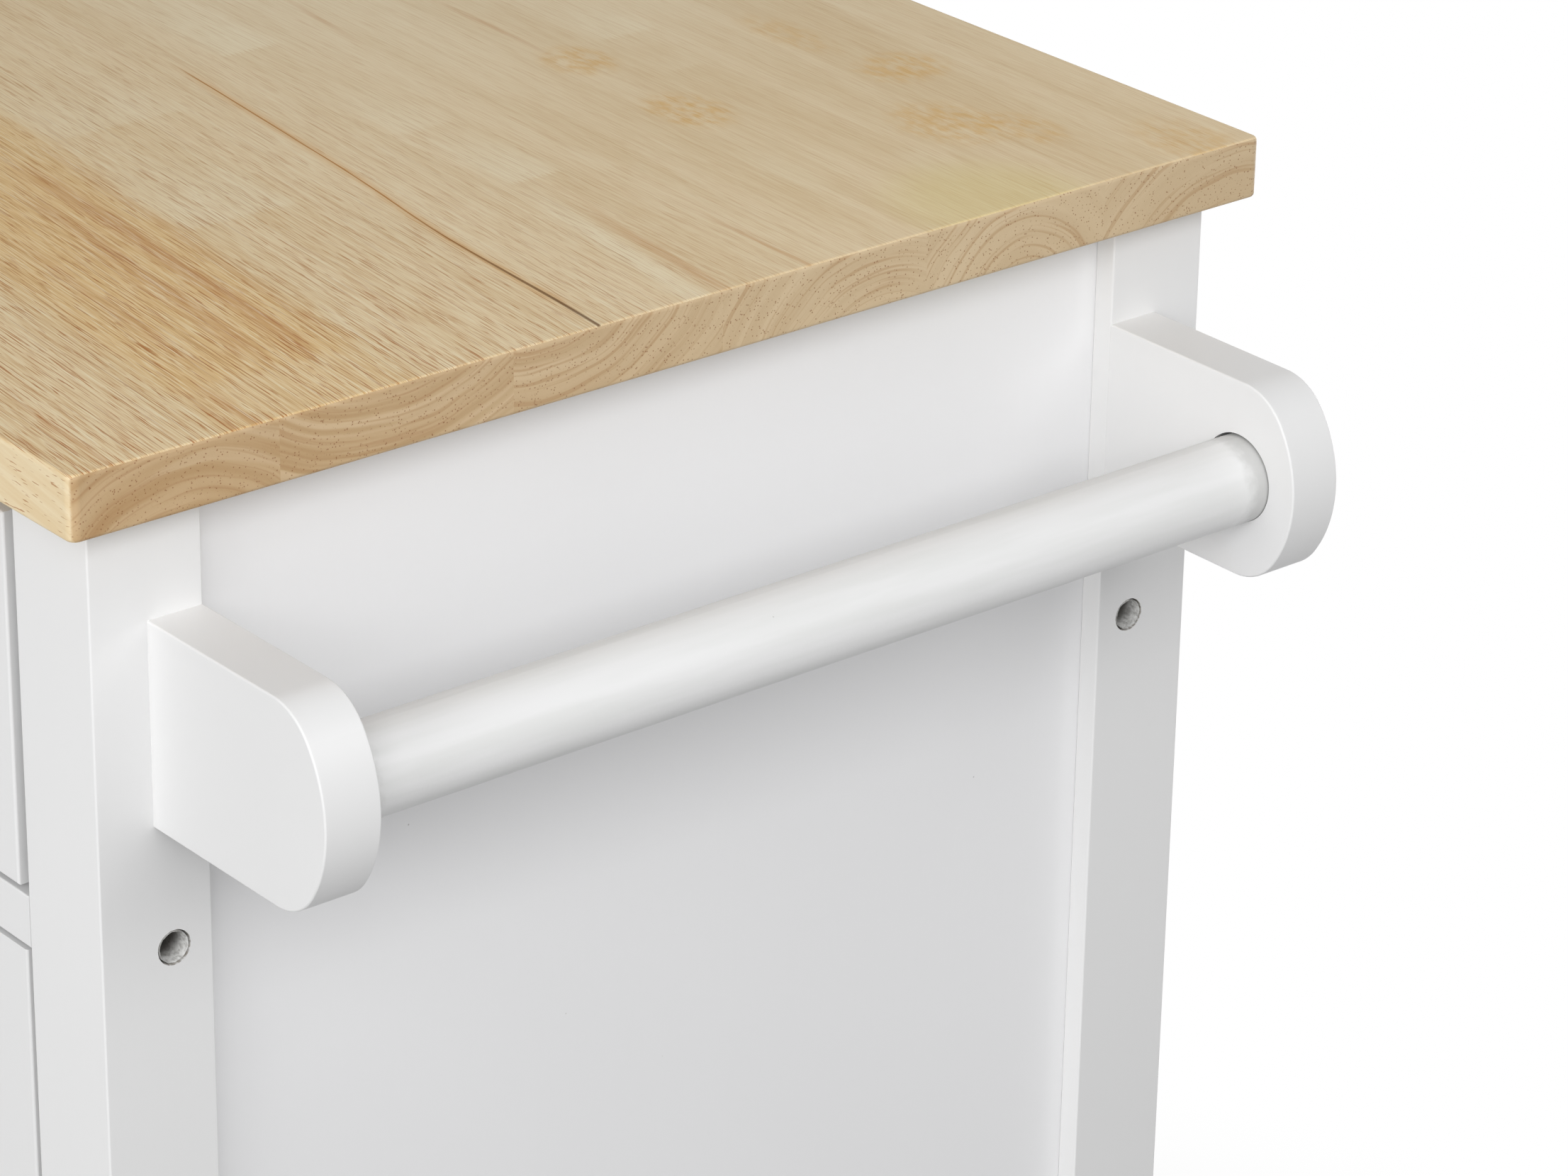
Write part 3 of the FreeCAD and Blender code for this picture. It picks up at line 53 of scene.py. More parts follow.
class Field:
    """A value that varies over a surface, and can be used in sums."""

    def __init__(self, tree, socket):
        self.tree = tree
        self.socket = socket

    def maths(self, operation, first, second=0.0):
        return self.tree.node("Math", {"operation": operation}, {0: first, 1: second})

    def __add__(self, other):
        return self.maths("ADD", self, other)

    def __sub__(self, other):
        return self.maths("SUBTRACT", self, other)

    def __rsub__(self, other):
        return self.maths("SUBTRACT", other, self)

    def __mul__(self, other):
        return self.maths("MULTIPLY", self, other)

    def __truediv__(self, other):
        return self.maths("DIVIDE", self, other)

    def __pow__(self, other):
        return self.maths("POWER", self, other)

    def __gt__(self, other):
        return self.maths("GREATER_THAN", self, other)

    def __abs__(self):
        return self.maths("ABSOLUTE", self)

    __radd__ = __add__
    __rmul__ = __mul__

    def fraction(self):
        return self.maths("FRACT", self)

    def most(self, other):
        return self.maths("MAXIMUM", self, other)

    def least(self, other):
        return self.maths("MINIMUM", self, other)

    def rise(self, low, high):
        """Grows smoothly from 0 to 1 while the value goes from low to high."""
        settings = {"interpolation_type": "SMOOTHSTEP"}
        sockets = {"Value": self, "From Min": low, "From Max": high}
        return self.tree.node("MapRange", settings, sockets)


class Tree:
    """A node tree that is filled from expressions."""

    def __init__(self, tree):
        self.nodes = tree.nodes
        self.links = tree.links

    def node(self, kind, settings=None, sockets=None, output=0):
        """Makes a node, and returns one of its outputs as a field."""
        made = self.nodes.new("ShaderNode" + kind)
        for setting, value in (settings or {}).items():
            setattr(made, setting, value)
        for socket, value in (sockets or {}).items():
            self.join(made.inputs[socket], value)
        return Field(self, made.outputs[output]) if made.outputs else None

    def join(self, socket, value):
        """Links a field to a socket, or sets the socket to a constant."""
        if isinstance(value, Field):
            self.links.new(value.socket, socket)
        else:
            socket.default_value = value

    def split(self, vector):
        """The three parts of a vector."""
        return [self.node("SeparateXYZ", sockets={"Vector": vector}, output=axis)
                for axis in "XYZ"]

    def gather(self, parts):
        """A vector of three parts."""
        return self.node("CombineXYZ", sockets=dict(zip("XYZ", parts)))

    def mix(self, factor, first, second):
        """A colour between two colours."""
        sockets = {MIX_FACTOR: factor, MIX_FIRST: first, MIX_SECOND: second}
        return self.node("Mix", {"data_type": "RGBA"}, sockets, MIX_RESULT)


class Finish(Tree):
    """A material, with the place on its surface in millimetres as x, y and z."""

    def __init__(self, name, **constants):
        self.material = bpy.data.materials.new(name)
        self.material.use_nodes = True
        super().__init__(self.material.node_tree)
        self.shader = self.nodes["Principled BSDF"]
        for socket, value in constants.items():
            self.shader.inputs[socket.replace("_", " ")].default_value = value
        place = self.split(self.node("TexCoord", output="Object"))
        self.x, self.y, self.z = [distance * MM_PER_M for distance in place]

    def noise(self, place, detail=2.0, roughness=0.5):
        """Soft cloudy variation from 0 to 1 over a place given as three values."""
        sockets = {"Vector": self.gather(place), "Scale": 1.0, "Detail": detail,
                   "Roughness": roughness}
        return self.node("TexNoise", sockets=sockets)

    def cloud(self, sizes, detail=2.0, shift=0.0):
        """Soft variation with a size of its own along each axis."""
        along, across, up = sizes
        place = (self.x / along + shift, self.y / across + shift, self.z / up)
        return self.noise(place, detail)

    def cells(self, place):
        """Distance to the nearest of many scattered points."""
        return self.node("TexVoronoi", sockets={"Vector": self.gather(place), "Scale": 1.0})

    def surface(self, colour, roughness, height=None, relief=0.0001, strength=0.5):
        """Joins colour, roughness and bump to the shader, and returns the material."""
        self.join(self.shader.inputs["Base Color"], colour)
        self.join(self.shader.inputs["Roughness"], roughness)
        if height is not None:
            sockets = {"Strength": strength, "Distance": relief, "Height": height}
            self.join(self.shader.inputs["Normal"], self.node("Bump", sockets=sockets))
        return self.material


def paint(red, green, blue):
    """A colour written in 0 to 255 as it looks on a screen."""
    shades = []
    for shade in (red, green, blue):
        share = shade / 255
        shades.append(share / 12.92 if share <= 0.04045 else ((share + 0.055) / 1.055) ** 2.4)
    return (*shades, 1.0)


def steps(value, edges, levels):
    """One level for each strip between edges."""
    total = levels[0]
    for edge, low, high in zip(edges, levels, levels[1:]):
        total = (value > edge) * (high - low) + total
    return total


def window(value, low, high, fade):
    """1 between two limits, with soft ends."""
    return value.rise(low - fade, low + fade) * (1 - value.rise(high - fade, high + fade))


# Worktop wood

# The worktop is glued from six strips that run along x. These are the edges between them, and for
# each strip the slope of its grain, the heart of its end's rings and their size.
STRIP_EDGES = (-131.2, -58.3, 10.8, 82.0, 147.1)
STRIP_NUMBERS = (0, 1, 2, 3, 4, 5)
GRAIN_SLOPES = (-0.09, -0.095, -0.085, -0.04, -0.03, -0.03)
RING_HEARTS_Y = (-160, -97, -48, 66, 118, 196)
RING_HEARTS_Z = (826, 900, 888, 832, 840, 826)
RING_SIZES = (6.0, 2.6, 3.6, 4.6, 5.0, 5.0)

# Numbers that keep the patterns of two strips apart, across the grain and in the noise
STRIP_OFFSET = 53
STRIP_SHIFT = 7.3

# Lengths and widths of the grain's patterns
BROAD_BANDS = (170, 16)
FIBRE_GRAIN = (55, 1.7)
THREAD_GRAIN = (30, 0.8)
NEEDLE_GRAIN = (13, 0.28)
VESSEL_GRAIN = (12, 0.3)
LINE_GRAIN = (40, 0.42)
WISP_GRAIN = (90, 22)

# Ends of the range in which a pattern from 0 to 1 turns into clear pores and lines
PORE_RANGE = (0.615, 0.665)
LINE_RANGE = (0.63, 0.70)
EDGE_PORE_RANGE = (0.64, 0.7)

# How far a surface faces along an axis before it takes the colours of that side
SIDE_RANGE = (0.55, 0.8)
TOP_RANGE = (0.6, 0.9)

# Finger joints
TOOTH_PITCH = 1.6
TOOTH_LENGTH = 3.0
JOINT_RAGGEDNESS = 1.2
JOINT_BLUR = 0.3

# Pale pieces that end at a finger joint: the joint's x, lowest and highest y, length, strength
PALE_PATCHES = (
    (36.3, 12, 31, 72, 0.75), (121.3, 13, 31, 62, 0.4), (171.3, 14, 32, 52, 0.65),
    (91.3, 109, 128, 40, 0.6), (125.0, 107, 119, 16, 0.25), (67.5, -66, -24, 60, 0.35),
    (147.5, -76, -42, 72, 0.45), (-62.0, 14, 70, 80, 0.4), (-118.0, -120, -70, 90, 0.45),
    (-160.0, 90, 140, 80, 0.5), (-205.0, -50, 0, 90, 0.5), (-40.0, 150, 190, 60, 0.35),
    (-240.0, 20, 70, 70, 0.4), (12.0, -188, -140, 80, 0.4), (-190.0, -185, -140, 90, 0.4),
)

# Soft stains: middle, size along and across the grain, strength
PALE_WISPS = (((228, 118), (18, 9), 0.6), ((206, 82), (24, 7), 0.5))
AMBER_SPOTS = (
    ((100, 92), (17, 13), 0.9), ((153, 91), (20, 14), 1.0), ((161, 164), (16, 18), 0.9),
    ((205, 143), (24, 18), 0.9), ((222, 158), (18, 12), 0.7), ((118, 156), (26, 10), 0.5),
    ((258, 188), (26, 16), 0.6), ((-120, 60), (30, 14), 0.7), ((-230, 170), (34, 16), 0.8),
    ((-290, -60), (30, 12), 0.6),
)
GREENISH_STAIN = ((262, 112), (42, 36), 0.55)

# Lines of brown wood: start, end, width, strength, length of the faded ends
BROWN_STREAKS = (
    ((70, -84), (241, -100), 5.0, 0.62, 14), ((88, -95), (242, -113), 4.2, 0.5, 14),
    ((120, -117), (240, -130), 3.0, 0.35, 14), ((60, -71), (238, -90), 2.4, 0.3, 14),
    ((228, -134), (290, -141), 2.0, 0.6, 12), ((236, -141), (290, -147), 1.6, 0.5, 12),
    ((205, -175), (300, -184), 1.6, 0.6, 16), ((18, 93), (100, 88), 1.8, 0.4, 20),
    ((-10, 58), (60, 50), 1.8, 0.4, 20), ((205, 43), (300, 40), 1.6, 0.45, 20),
    ((180, 21), (300, 9), 3.0, 0.45, 25), ((-300, 30), (-150, 20), 3.0, 0.4, 30),
    ((-330, -95), (-140, -112), 4.0, 0.4, 40), ((-280, 120), (-120, 112), 3.0, 0.35, 30),
    ((120, -88), (239, -98), 1.1, 0.55, 12), ((130, -105), (239, -116), 1.0, 0.5, 12),
)

# The golden heartwood of the second strip: its x, its lowest and highest y there, slope and fade
HEART_X, HEART_LOW_Y, HEART_HIGH_Y = 70, -128, -70
HEART_SLOPE, HEART_FADE = 0.10, 7

# The pale stripe behind the crack: its x, its lowest and highest y there, slope, fade, strength
STRIPE_X, STRIPE_LOW_Y, STRIPE_HIGH_Y = 165, 13, 20
STRIPE_SLOPE, STRIPE_FADE, STRIPE_STRENGTH = 0.14, 2.5, 0.75

# The drying crack in the third strip: where it starts, its slope, and its bend to the front
CRACK_START = (31, -4)
CRACK_SLOPE = 0.111
CRACK_BEND = 2.3

WOOD_SHADES = {
    "dull": (228, 203, 160),
    "fresh": (238, 216, 177),
    "warm": (233, 204, 150),
    "sunny": (246, 231, 198),
    "heart": (228, 188, 118),
    "pale": (244, 228, 192),
    "amber": (222, 178, 104),
    "greenish": (230, 212, 148),
    "brown": (196, 140, 76),
    "dark_fibre": (188, 134, 64),
    "light_fibre": (252, 244, 216),
    "pore": (172, 98, 26),
    "long_line": (158, 84, 22),
    "crack_halo": (214, 162, 88),
    "crack_thin": (178, 112, 38),
    "crack_open": (92, 52, 18),
    "edge_dull": (226, 203, 162),
    "edge_fresh": (234, 217, 182),
    "edge_pore": (172, 116, 66),
    "ring_dark": (182, 149, 107),
    "ring_light": (199, 170, 131),
    "ring_late": (224, 202, 168),
    "ring_fine": (170, 130, 88),
    "rear_end": (214, 195, 162),
    "end_pore": (132, 82, 44),
}


class WorktopWood(Finish):
    """Finger-jointed hardwood with a satin lacquer."""

    def __init__(self):
        super().__init__("worktop_wood", Specular_IOR_Level=0.3)
        self.colours = {name: paint(*shade) for name, shade in WOOD_SHADES.items()}
        self.find_faces()
        self.glue_strips()
        self.grow_grain()

    def find_faces(self):
        """Tells the ends, the top and foot, and the front and rear edges apart."""
        turned = self.split(self.node("TexCoord", output="Normal"))
        facing_x, facing_y, facing_z = [abs(part) for part in turned]
        self.end = facing_x.rise(*SIDE_RANGE)
        self.top = facing_z.rise(*TOP_RANGE)
        self.long_edge = facing_y.rise(*SIDE_RANGE)

    def glue_strips(self):
        """Numbers the strips, and finds the direction of each one's grain and its joints' teeth."""
        self.strip = steps(self.y, STRIP_EDGES, STRIP_NUMBERS)
        self.shift = self.strip * STRIP_SHIFT
        slope = steps(self.y, STRIP_EDGES, GRAIN_SLOPES)
        self.across = self.y - self.x * slope + self.z * 0.6 + self.strip * STRIP_OFFSET
        teeth = abs((self.y / TOOTH_PITCH).fraction() - 0.5) * 2 * TOOTH_LENGTH
        ragged = self.noise((self.x / 9, self.y / 9, self.shift)) * JOINT_RAGGEDNESS
        self.teeth = teeth + ragged - JOINT_RAGGEDNESS / 2
        self.wander = (self.noise((self.x / 45, self.shift, 1.7), 1.0) - 0.5) * 5

    def grow_grain(self):
        """The patterns of the grain, from broad bands to pores and long lines."""
        depth = self.z / 2
        self.broad = self.grain(BROAD_BANDS, self.shift, 3.0)
        self.fibre = self.grain(FIBRE_GRAIN, self.shift, 3.0, 0.6)
        self.thread = self.grain(THREAD_GRAIN, self.shift, 2.0, 0.6)
        self.needle = self.grain(NEEDLE_GRAIN, depth)
        self.long_lines = self.grain(LINE_GRAIN, depth + 3).rise(*LINE_RANGE)
        crisp = 1 - (self.y - self.x * 0.12).rise(-150, 70)
        self.crisp = crisp * (self.x.rise(60, 260) * 0.3 + 0.72)
        level_y = self.y + (self.x - HEART_X) * HEART_SLOPE
        heart = window(level_y, HEART_LOW_Y, HEART_HIGH_Y, HEART_FADE) * self.x.rise(-60, 60)
        self.heart = heart * (1 - self.x.rise(236, 244) * 0.45)
        vessels = self.grain(VESSEL_GRAIN, depth + 7)
        self.pores = (vessels + self.heart * 0.015).rise(*PORE_RANGE)

    def grain(self, size, depth, detail=1.0, roughness=0.5):
        """Variation drawn out along the grain, with a pattern of its own on each strip."""
        length, width = size
        place = (self.x / length + self.shift, self.across / width, depth)
        return self.noise(place, detail, roughness)

    def tint(self, factor, base, name):
        """A base colour mixed with one of the wood's colours."""
        return self.mix(factor, base, self.colours[name])

    def blotch(self, middle, size, strength):
        """A soft round stain."""
        along = (self.x - middle[0]) / size[0]
        across = (self.y - middle[1]) / size[1]
        return (1 - (along * along + across * across).rise(0.1, 1.0)) * strength

    def pale_patch(self, joint_x, low_y, high_y, length, strength):
        """Pale wood that ends at a finger joint's teeth and fades out along the grain."""
        left = 1 - (self.x + self.teeth).rise(joint_x - JOINT_BLUR, joint_x + JOINT_BLUR)
        fade = self.x.rise(joint_x - length, joint_x - length * 0.15)
        return left * fade * window(self.y, low_y, high_y, 3.5) * strength

    def streak(self, start, end, width, strength, fade):
        """A line of darker wood between two places on the board."""
        slope = (end[1] - start[1]) / (end[0] - start[0])
        middle = (self.x - start[0]) * slope + start[1] + self.wander
        body = 1 - abs(self.y - middle).rise(width * 0.15, width)
        return body * window(self.x, start[0] + fade, end[0] - fade, fade) * strength

    def broad_colour(self):
        """Bands of sapwood, warmer in front, sunnier at the rear left, and golden at the heart."""
        base = self.mix(self.broad.rise(0.32, 0.68), self.colours["dull"], self.colours["fresh"])
        front = 1 - (self.y + self.x * 0.06).rise(-100, 40)
        base = self.tint(front * 0.35, base, "warm")
        rear_left = (1 - self.x.rise(-40, 140)) * self.y.rise(-20, 60)
        base = self.tint(rear_left * 0.5, base, "sunny")
        return self.tint(self.heart * (self.broad * 0.5 + 0.35), base, "heart")

    def add_pale_pieces(self, base):
        """Pale pieces at the finger joints, one pale stripe and two wisps."""
        patches = sum(self.pale_patch(*patch) for patch in PALE_PATCHES)
        level_y = self.y + (self.x - STRIPE_X) * STRIPE_SLOPE
        stripe = window(level_y, STRIPE_LOW_Y, STRIPE_HIGH_Y, STRIPE_FADE)
        stripe = stripe * self.x.rise(150, 215) * STRIPE_STRENGTH
        wisps = sum(self.blotch(*wisp) for wisp in PALE_WISPS)
        length, width = WISP_GRAIN
        thick = self.noise((self.x / length, self.across / width, self.shift + 3), 1.0)
        self.pale = (patches + stripe + wisps * thick) * self.top
        return self.tint(self.pale.least(1.0), base, "pale")

    def add_stains(self, base):
        """Amber spots, a greenish stain and brown streaks."""
        mottle = self.noise((self.x / 6, self.y / 3, 2.2), 4.0).rise(0.3, 0.7)
        amber = sum(self.blotch(*spot) for spot in AMBER_SPOTS) * mottle * self.top
        base = self.tint((amber * 0.85).least(0.95), base, "amber")
        base = self.tint(self.blotch(*GREENISH_STAIN) * self.top, base, "greenish")
        brown = sum(self.streak(*line) for line in BROWN_STREAKS)
        brown = brown * (self.thread * 0.9 + 0.45) * self.top
        return self.tint(brown.least(0.75), base, "brown")

    def add_fine_grain(self, base):
        """Light and dark fibres, pores and long lines, crispest in front."""
        fine = (self.needle - 0.5) * 1.35 + (self.thread - 0.5) * 0.3 + (self.fibre - 0.5) * 0.5
        fine = fine * (self.crisp * 0.9 + 0.55)
        base = self.tint((0 - fine).most(0.0).least(0.8), base, "dark_fibre")
        base = self.tint(fine.most(0.0).least(0.8), base, "light_fibre")
        base = self.tint(self.pores * (self.crisp * 0.7 + 0.08), base, "pore")
        return self.tint(self.long_lines * (self.crisp * 0.5 + 0.05), base, "long_line")

    def add_crack(self, base):
        """The long drying crack in the third strip, wider and darker to the right."""
        start_x, start_y = CRACK_START
        bend = window(self.x, 160, 225, 45) * CRACK_BEND
        crack_y = start_y - (self.x - start_x) * CRACK_SLOPE - bend
        off = abs(self.y - crack_y - self.wander * 0.1)
        width = 0.26 + self.x.rise(150, 255) * 0.3
        self.crack = (1 - (off / width).rise(0.4, 1.5)) * self.x.rise(26, 48) * self.top
        ends = self.x.rise(26, 60) * (1 - self.x.rise(236, 262))
        base = self.tint((1 - off.rise(0.4, 3.2)) * ends * self.top * 0.4, base, "crack_halo")
        colour = self.tint(self.x.rise(150, 250), self.colours["crack_thin"], "crack_open")
        return self.mix(self.crack * 0.78, base, colour)

    def edge_colour(self):
        """Long grain of the front and rear edges, with short pores."""
        colour = self.tint(self.fibre.rise(0.35, 0.7), self.colours["edge_dull"], "edge_fresh")
        place = (self.x / 4.5, self.y / 3, self.z / 0.5 + self.x * 0.03)
        pores = self.noise(place, 1.0).rise(*EDGE_PORE_RANGE)
        return self.tint(pores * 0.75, colour, "edge_pore")

    def end_colour(self):
        """Curved year rings and pores of the ends."""
        off_y = self.y - steps(self.y, STRIP_EDGES, RING_HEARTS_Y)
        off_z = (self.z - steps(self.y, STRIP_EDGES, RING_HEARTS_Z)) * 1.2
        radius = (off_y * off_y + off_z * off_z) ** 0.5
        radius = radius + (self.noise((self.y / 22, self.z / 14, self.shift), 1.0) - 0.5) * 4
        ring = radius / steps(self.y, STRIP_EDGES, RING_SIZES) + self.shift
        rings = self.noise((ring, self.y / 70, self.shift), 1.0)
        late = self.noise((ring + 9, self.y / 60, self.shift), 0.0)
        fine = self.noise((radius / 1.3 + self.shift, self.y / 40, self.shift + 4), 1.0)
        colour = self.tint(rings.rise(0.3, 0.7), self.colours["ring_dark"], "ring_light")
        colour = self.tint(late.rise(0.56, 0.7) * 0.3, colour, "ring_late")
        colour = self.tint(self.y.rise(-160, 60) * 0.6, colour, "rear_end")
        colour = self.tint(fine.rise(0.52, 0.72) * 0.45, colour, "ring_fine")
        pores = 1 - self.cells((self.y / 0.95, self.z / 0.95, self.strip)).rise(0.14, 0.28)
        pores = pores * self.noise((self.y / 2.4, self.z / 2.4, 5.0)).rise(0.38, 0.52)
        return self.tint(pores * 0.75, colour, "end_pore")

    def finished(self):
        """The material with all its colours, gloss and relief."""
        base = self.broad_colour()
        for layer in (self.add_pale_pieces, self.add_stains, self.add_fine_grain, self.add_crack):
            base = layer(base)
        base = self.mix(self.long_edge, base, self.edge_colour())
        base = self.mix(self.end, base, self.end_colour())
        height = (self.thread * 0.3 + self.needle * 0.2 - self.pores * 0.2
                  - self.long_lines * 0.15 - self.crack * 0.3)
        roughness = (0.46 + self.fibre * 0.12 - self.pale * 0.05 + self.crack * 0.4
                     + (self.pores + self.long_lines) * 0.15)
        return self.surface(base, roughness, height, relief=0.00012, strength=0.6)


# White paint and raw wood

# Bolt holes in the posts: the posts' outer faces, the two rows and the two levels
HOLE_FACES_X = {"left": -321.5, "right": 256.5}
HOLE_ROWS_Y = {"front": -160.0, "rear": 174.0}
HOLE_LEVELS_Z = {"low": 97.5, "high": 721.0}

# The radii between which raw wood gives way to paint, and the depths over which painted shade
# # darkens the wood in the holes
HOLE_RIM = (4.95, 5.1)
HOLE_SHADE_START_DEPTH = 2.4
HOLE_SHADE_FULL_DEPTH = 8.0

# The towel bar lies beyond this x, and turns grey between these distances from its middle,
# # partly with glue and partly with painted contact shade at the brackets
BAR_FROM_X = 280
BAR_GLUE_AND_SHADE_FROM, BAR_GLUE_AND_SHADE_TO = 149, 155.5


def from_middle(value, limits):
    """Distance from halfway between two limits, and half the way between them."""
    low, high = limits.values()
    return abs(value - (low + high) / 2), (high - low) / 2


# Sizes of the brushed fibres below the paint, by the way that the wood runs
FIBRES = {"x": (60, 1.6, 1.6), "y": (1.6, 60, 1.6), "z": (1.6, 1.6, 60)}
SPECK_SPACING = 26
DIM_SHARE = 0.955
PAINT_RELIEF = 0.00006


class Coat(Finish):
    """Satin white paint over wood, with a faint skin, rare specks and a hint of grain."""

    def __init__(self, name, white, roughness, grain, along="z"):
        super().__init__(name, Specular_IOR_Level=0.42)
        broad = self.cloud((210, 210, 260))
        skin = self.cloud((2.6, 2.6, 2.6), shift=4.0)
        orange_peel = self.cloud((0.9, 0.9, 0.9), 1.0, 9.0)
        fibre = self.cloud(FIBRES[along], 3.0, 2.0)
        place = [distance / SPECK_SPACING for distance in (self.x, self.y, self.z)]
        speck = 1 - self.cells(place).rise(0.006, 0.013)
        white = paint(*white)
        dim = (*[shade * DIM_SHARE for shade in white[:3]], 1.0)
        colour = self.mix(broad.rise(0.3, 0.7) * 0.5 + fibre * 0.12, white, dim)
        self.colour = self.mix(speck * 0.5, colour, paint(150, 146, 140))
        self.height = skin * 0.6 + orange_peel * 0.25 + fibre * grain + speck * 0.5
        self.roughness = roughness + skin * 0.08 + broad * 0.05

    def finished(self):
        """The material with its colour, gloss and relief."""
        return self.surface(self.colour, self.roughness, self.height, PAINT_RELIEF)


def post_paint():
    """White paint on the posts, set darker than the panels' as painted shade, with raw, ragged rims
    in the bolt holes.
    """
    coat = Coat("post_paint", (235, 235, 235), 0.36, 0.3)
    away_y, half_y = from_middle(coat.y, HOLE_ROWS_Y)
    away_z, half_z = from_middle(coat.z, HOLE_LEVELS_Z)
    off_y, off_z = away_y - half_y, away_z - half_z
    radius = (off_y * off_y + off_z * off_z) ** 0.5
    ragged = coat.cloud((2.2, 0.8, 0.8), 3.0, 3.0)
    inside = 1 - (radius + (ragged - 0.5) * 0.5).rise(*HOLE_RIM)
    raw = coat.mix(ragged.rise(0.35, 0.65), paint(176, 170, 163), paint(226, 223, 218))
    coat.colour = coat.mix(inside, coat.colour, raw)
    coat.roughness = coat.roughness + inside * 0.4
    coat.height = coat.height * (1 - inside) + ragged * inside * 14
    return coat.finished()


def bar_paint():
    """Streaky white paint on the bar and drawer sides; grey glue and painted contact shade at the
    bar's ends.
    """
    coat = Coat("bar_paint", (236, 236, 236), 0.34, 0.3, "y")
    streaks = coat.cloud((5, 60, 5), 3.0, 6.0)
    colour = coat.mix(streaks.rise(0.35, 0.7) * 0.5, coat.colour, paint(224, 225, 223))
    ragged = coat.cloud((3, 3, 3), 3.0, 4.0)
    from_centre, _ = from_middle(coat.y, HOLE_ROWS_Y)
    # Painted shade mixed with grey glue: the bar's ends darken where they meet the brackets, as
    # contact shadow
    ends = (from_centre + ragged * 6).rise(BAR_GLUE_AND_SHADE_FROM, BAR_GLUE_AND_SHADE_TO) * (coat.x > BAR_FROM_X)
    coat.colour = coat.mix(ends * 0.6, colour, paint(186, 186, 184))
    coat.roughness = coat.roughness + streaks * 0.12
    return coat.finished()


def hole_lining_wood():
    """Torn, unpainted wood in the bolt holes, pale near the mouth and darkened deeper in by painted
    shade.
    """
    raw = Finish("hole_raw")
    ragged = raw.cloud((1.6, 1.0, 1.0), 4.0, 3.0)
    flakes = raw.cloud((2.4, 0.7, 1.6), shift=8.0)
    from_centre, half = from_middle(raw.x, HOLE_FACES_X)
    mouth = from_centre.rise(half - HOLE_SHADE_FULL_DEPTH, half - HOLE_SHADE_START_DEPTH)
    colour = raw.mix(ragged.rise(0.3, 0.6), paint(200, 199, 196), paint(242, 242, 240))
    # Painted shade: the lining turns dark grey deeper in the hole, where light does not reach
    colour = raw.mix(1 - mouth, colour, paint(112, 109, 105))
    return raw.surface(colour, 0.75 + ragged * 0.15, ragged + flakes * 0.6,
                       relief=0.0005, strength=0.9)


def dowel_wood():
    """Plain hardwood of the dowels."""
    wood = Finish("dowel_wood")
    fibre = wood.cloud((30, 0.9, 0.9), 3.0)
    colour = wood.mix(fibre.rise(0.3, 0.7), paint(188, 152, 104), paint(214, 184, 138))
    return wood.surface(colour, 0.62 + fibre * 0.12, fibre)


# Metals and plastics


def plated(name, bright, dull, roughness, brush):
    """Plated steel with faint brushing, rubbed patches and fine dust."""
    metal = Finish(name, Metallic=1.0)
    patches = metal.cloud((14, 14, 14), 3.0)
    lines = metal.cloud(brush, 2.0, 5.0)
    dust = metal.cloud((0.7, 0.7, 0.7), 1.0, 8.0)
    colour = metal.mix(patches.rise(0.3, 0.7), paint(*bright), paint(*dull))
    return metal.surface(colour, roughness + patches * 0.12 + lines * 0.08,
                         lines * 0.6 + dust * 0.3, relief=0.00003)


def powder_coat():
    """White powder coat on the drawer slides, with a fine pebbled skin."""
    coat = Finish("slide_coat", Specular_IOR_Level=0.4)
    pebble = coat.cloud((0.6, 0.6, 0.6), 1.0)
    broad = coat.cloud((60, 60, 60))
    colour = coat.mix(broad * 0.6, paint(232, 232, 229), paint(214, 214, 210))
    return coat.surface(colour, 0.42 + broad * 0.1, pebble, relief=0.00005)


def moulded(name, light, dark, roughness, pebble_size):
    """Moulded plastic with a fine pebbled skin and slight scuffs."""
    plastic = Finish(name, Specular_IOR_Level=0.42)
    pebble = plastic.cloud((pebble_size, pebble_size, pebble_size), 1.0)
    scuffs = plastic.cloud((9, 9, 3), 4.0, 3.0)
    colour = plastic.mix(scuffs.rise(0.35, 0.75), paint(*dark), paint(*light))
    return plastic.surface(colour, roughness + scuffs * 0.18, pebble + scuffs * 0.3,
                           relief=0.00006)


def wheel_plastic():
    """Dark wheel plastic with patches of dust and fine scratches."""
    plastic = Finish("wheel_plastic", Specular_IOR_Level=0.4)
    pebble = plastic.cloud((0.7, 0.7, 0.7), 1.0)
    dust = plastic.cloud((7, 7, 7), 4.0, 3.0)
    scratches = plastic.cloud((1.2, 12, 1.2), 2.0, 6.0)
    colour = plastic.mix(dust.rise(0.4, 0.75), paint(44, 45, 47), paint(74, 74, 74))
    return plastic.surface(colour, 0.45 + dust * 0.2, pebble * 0.6 + scratches * 0.4,
                           relief=0.00008, strength=0.6)


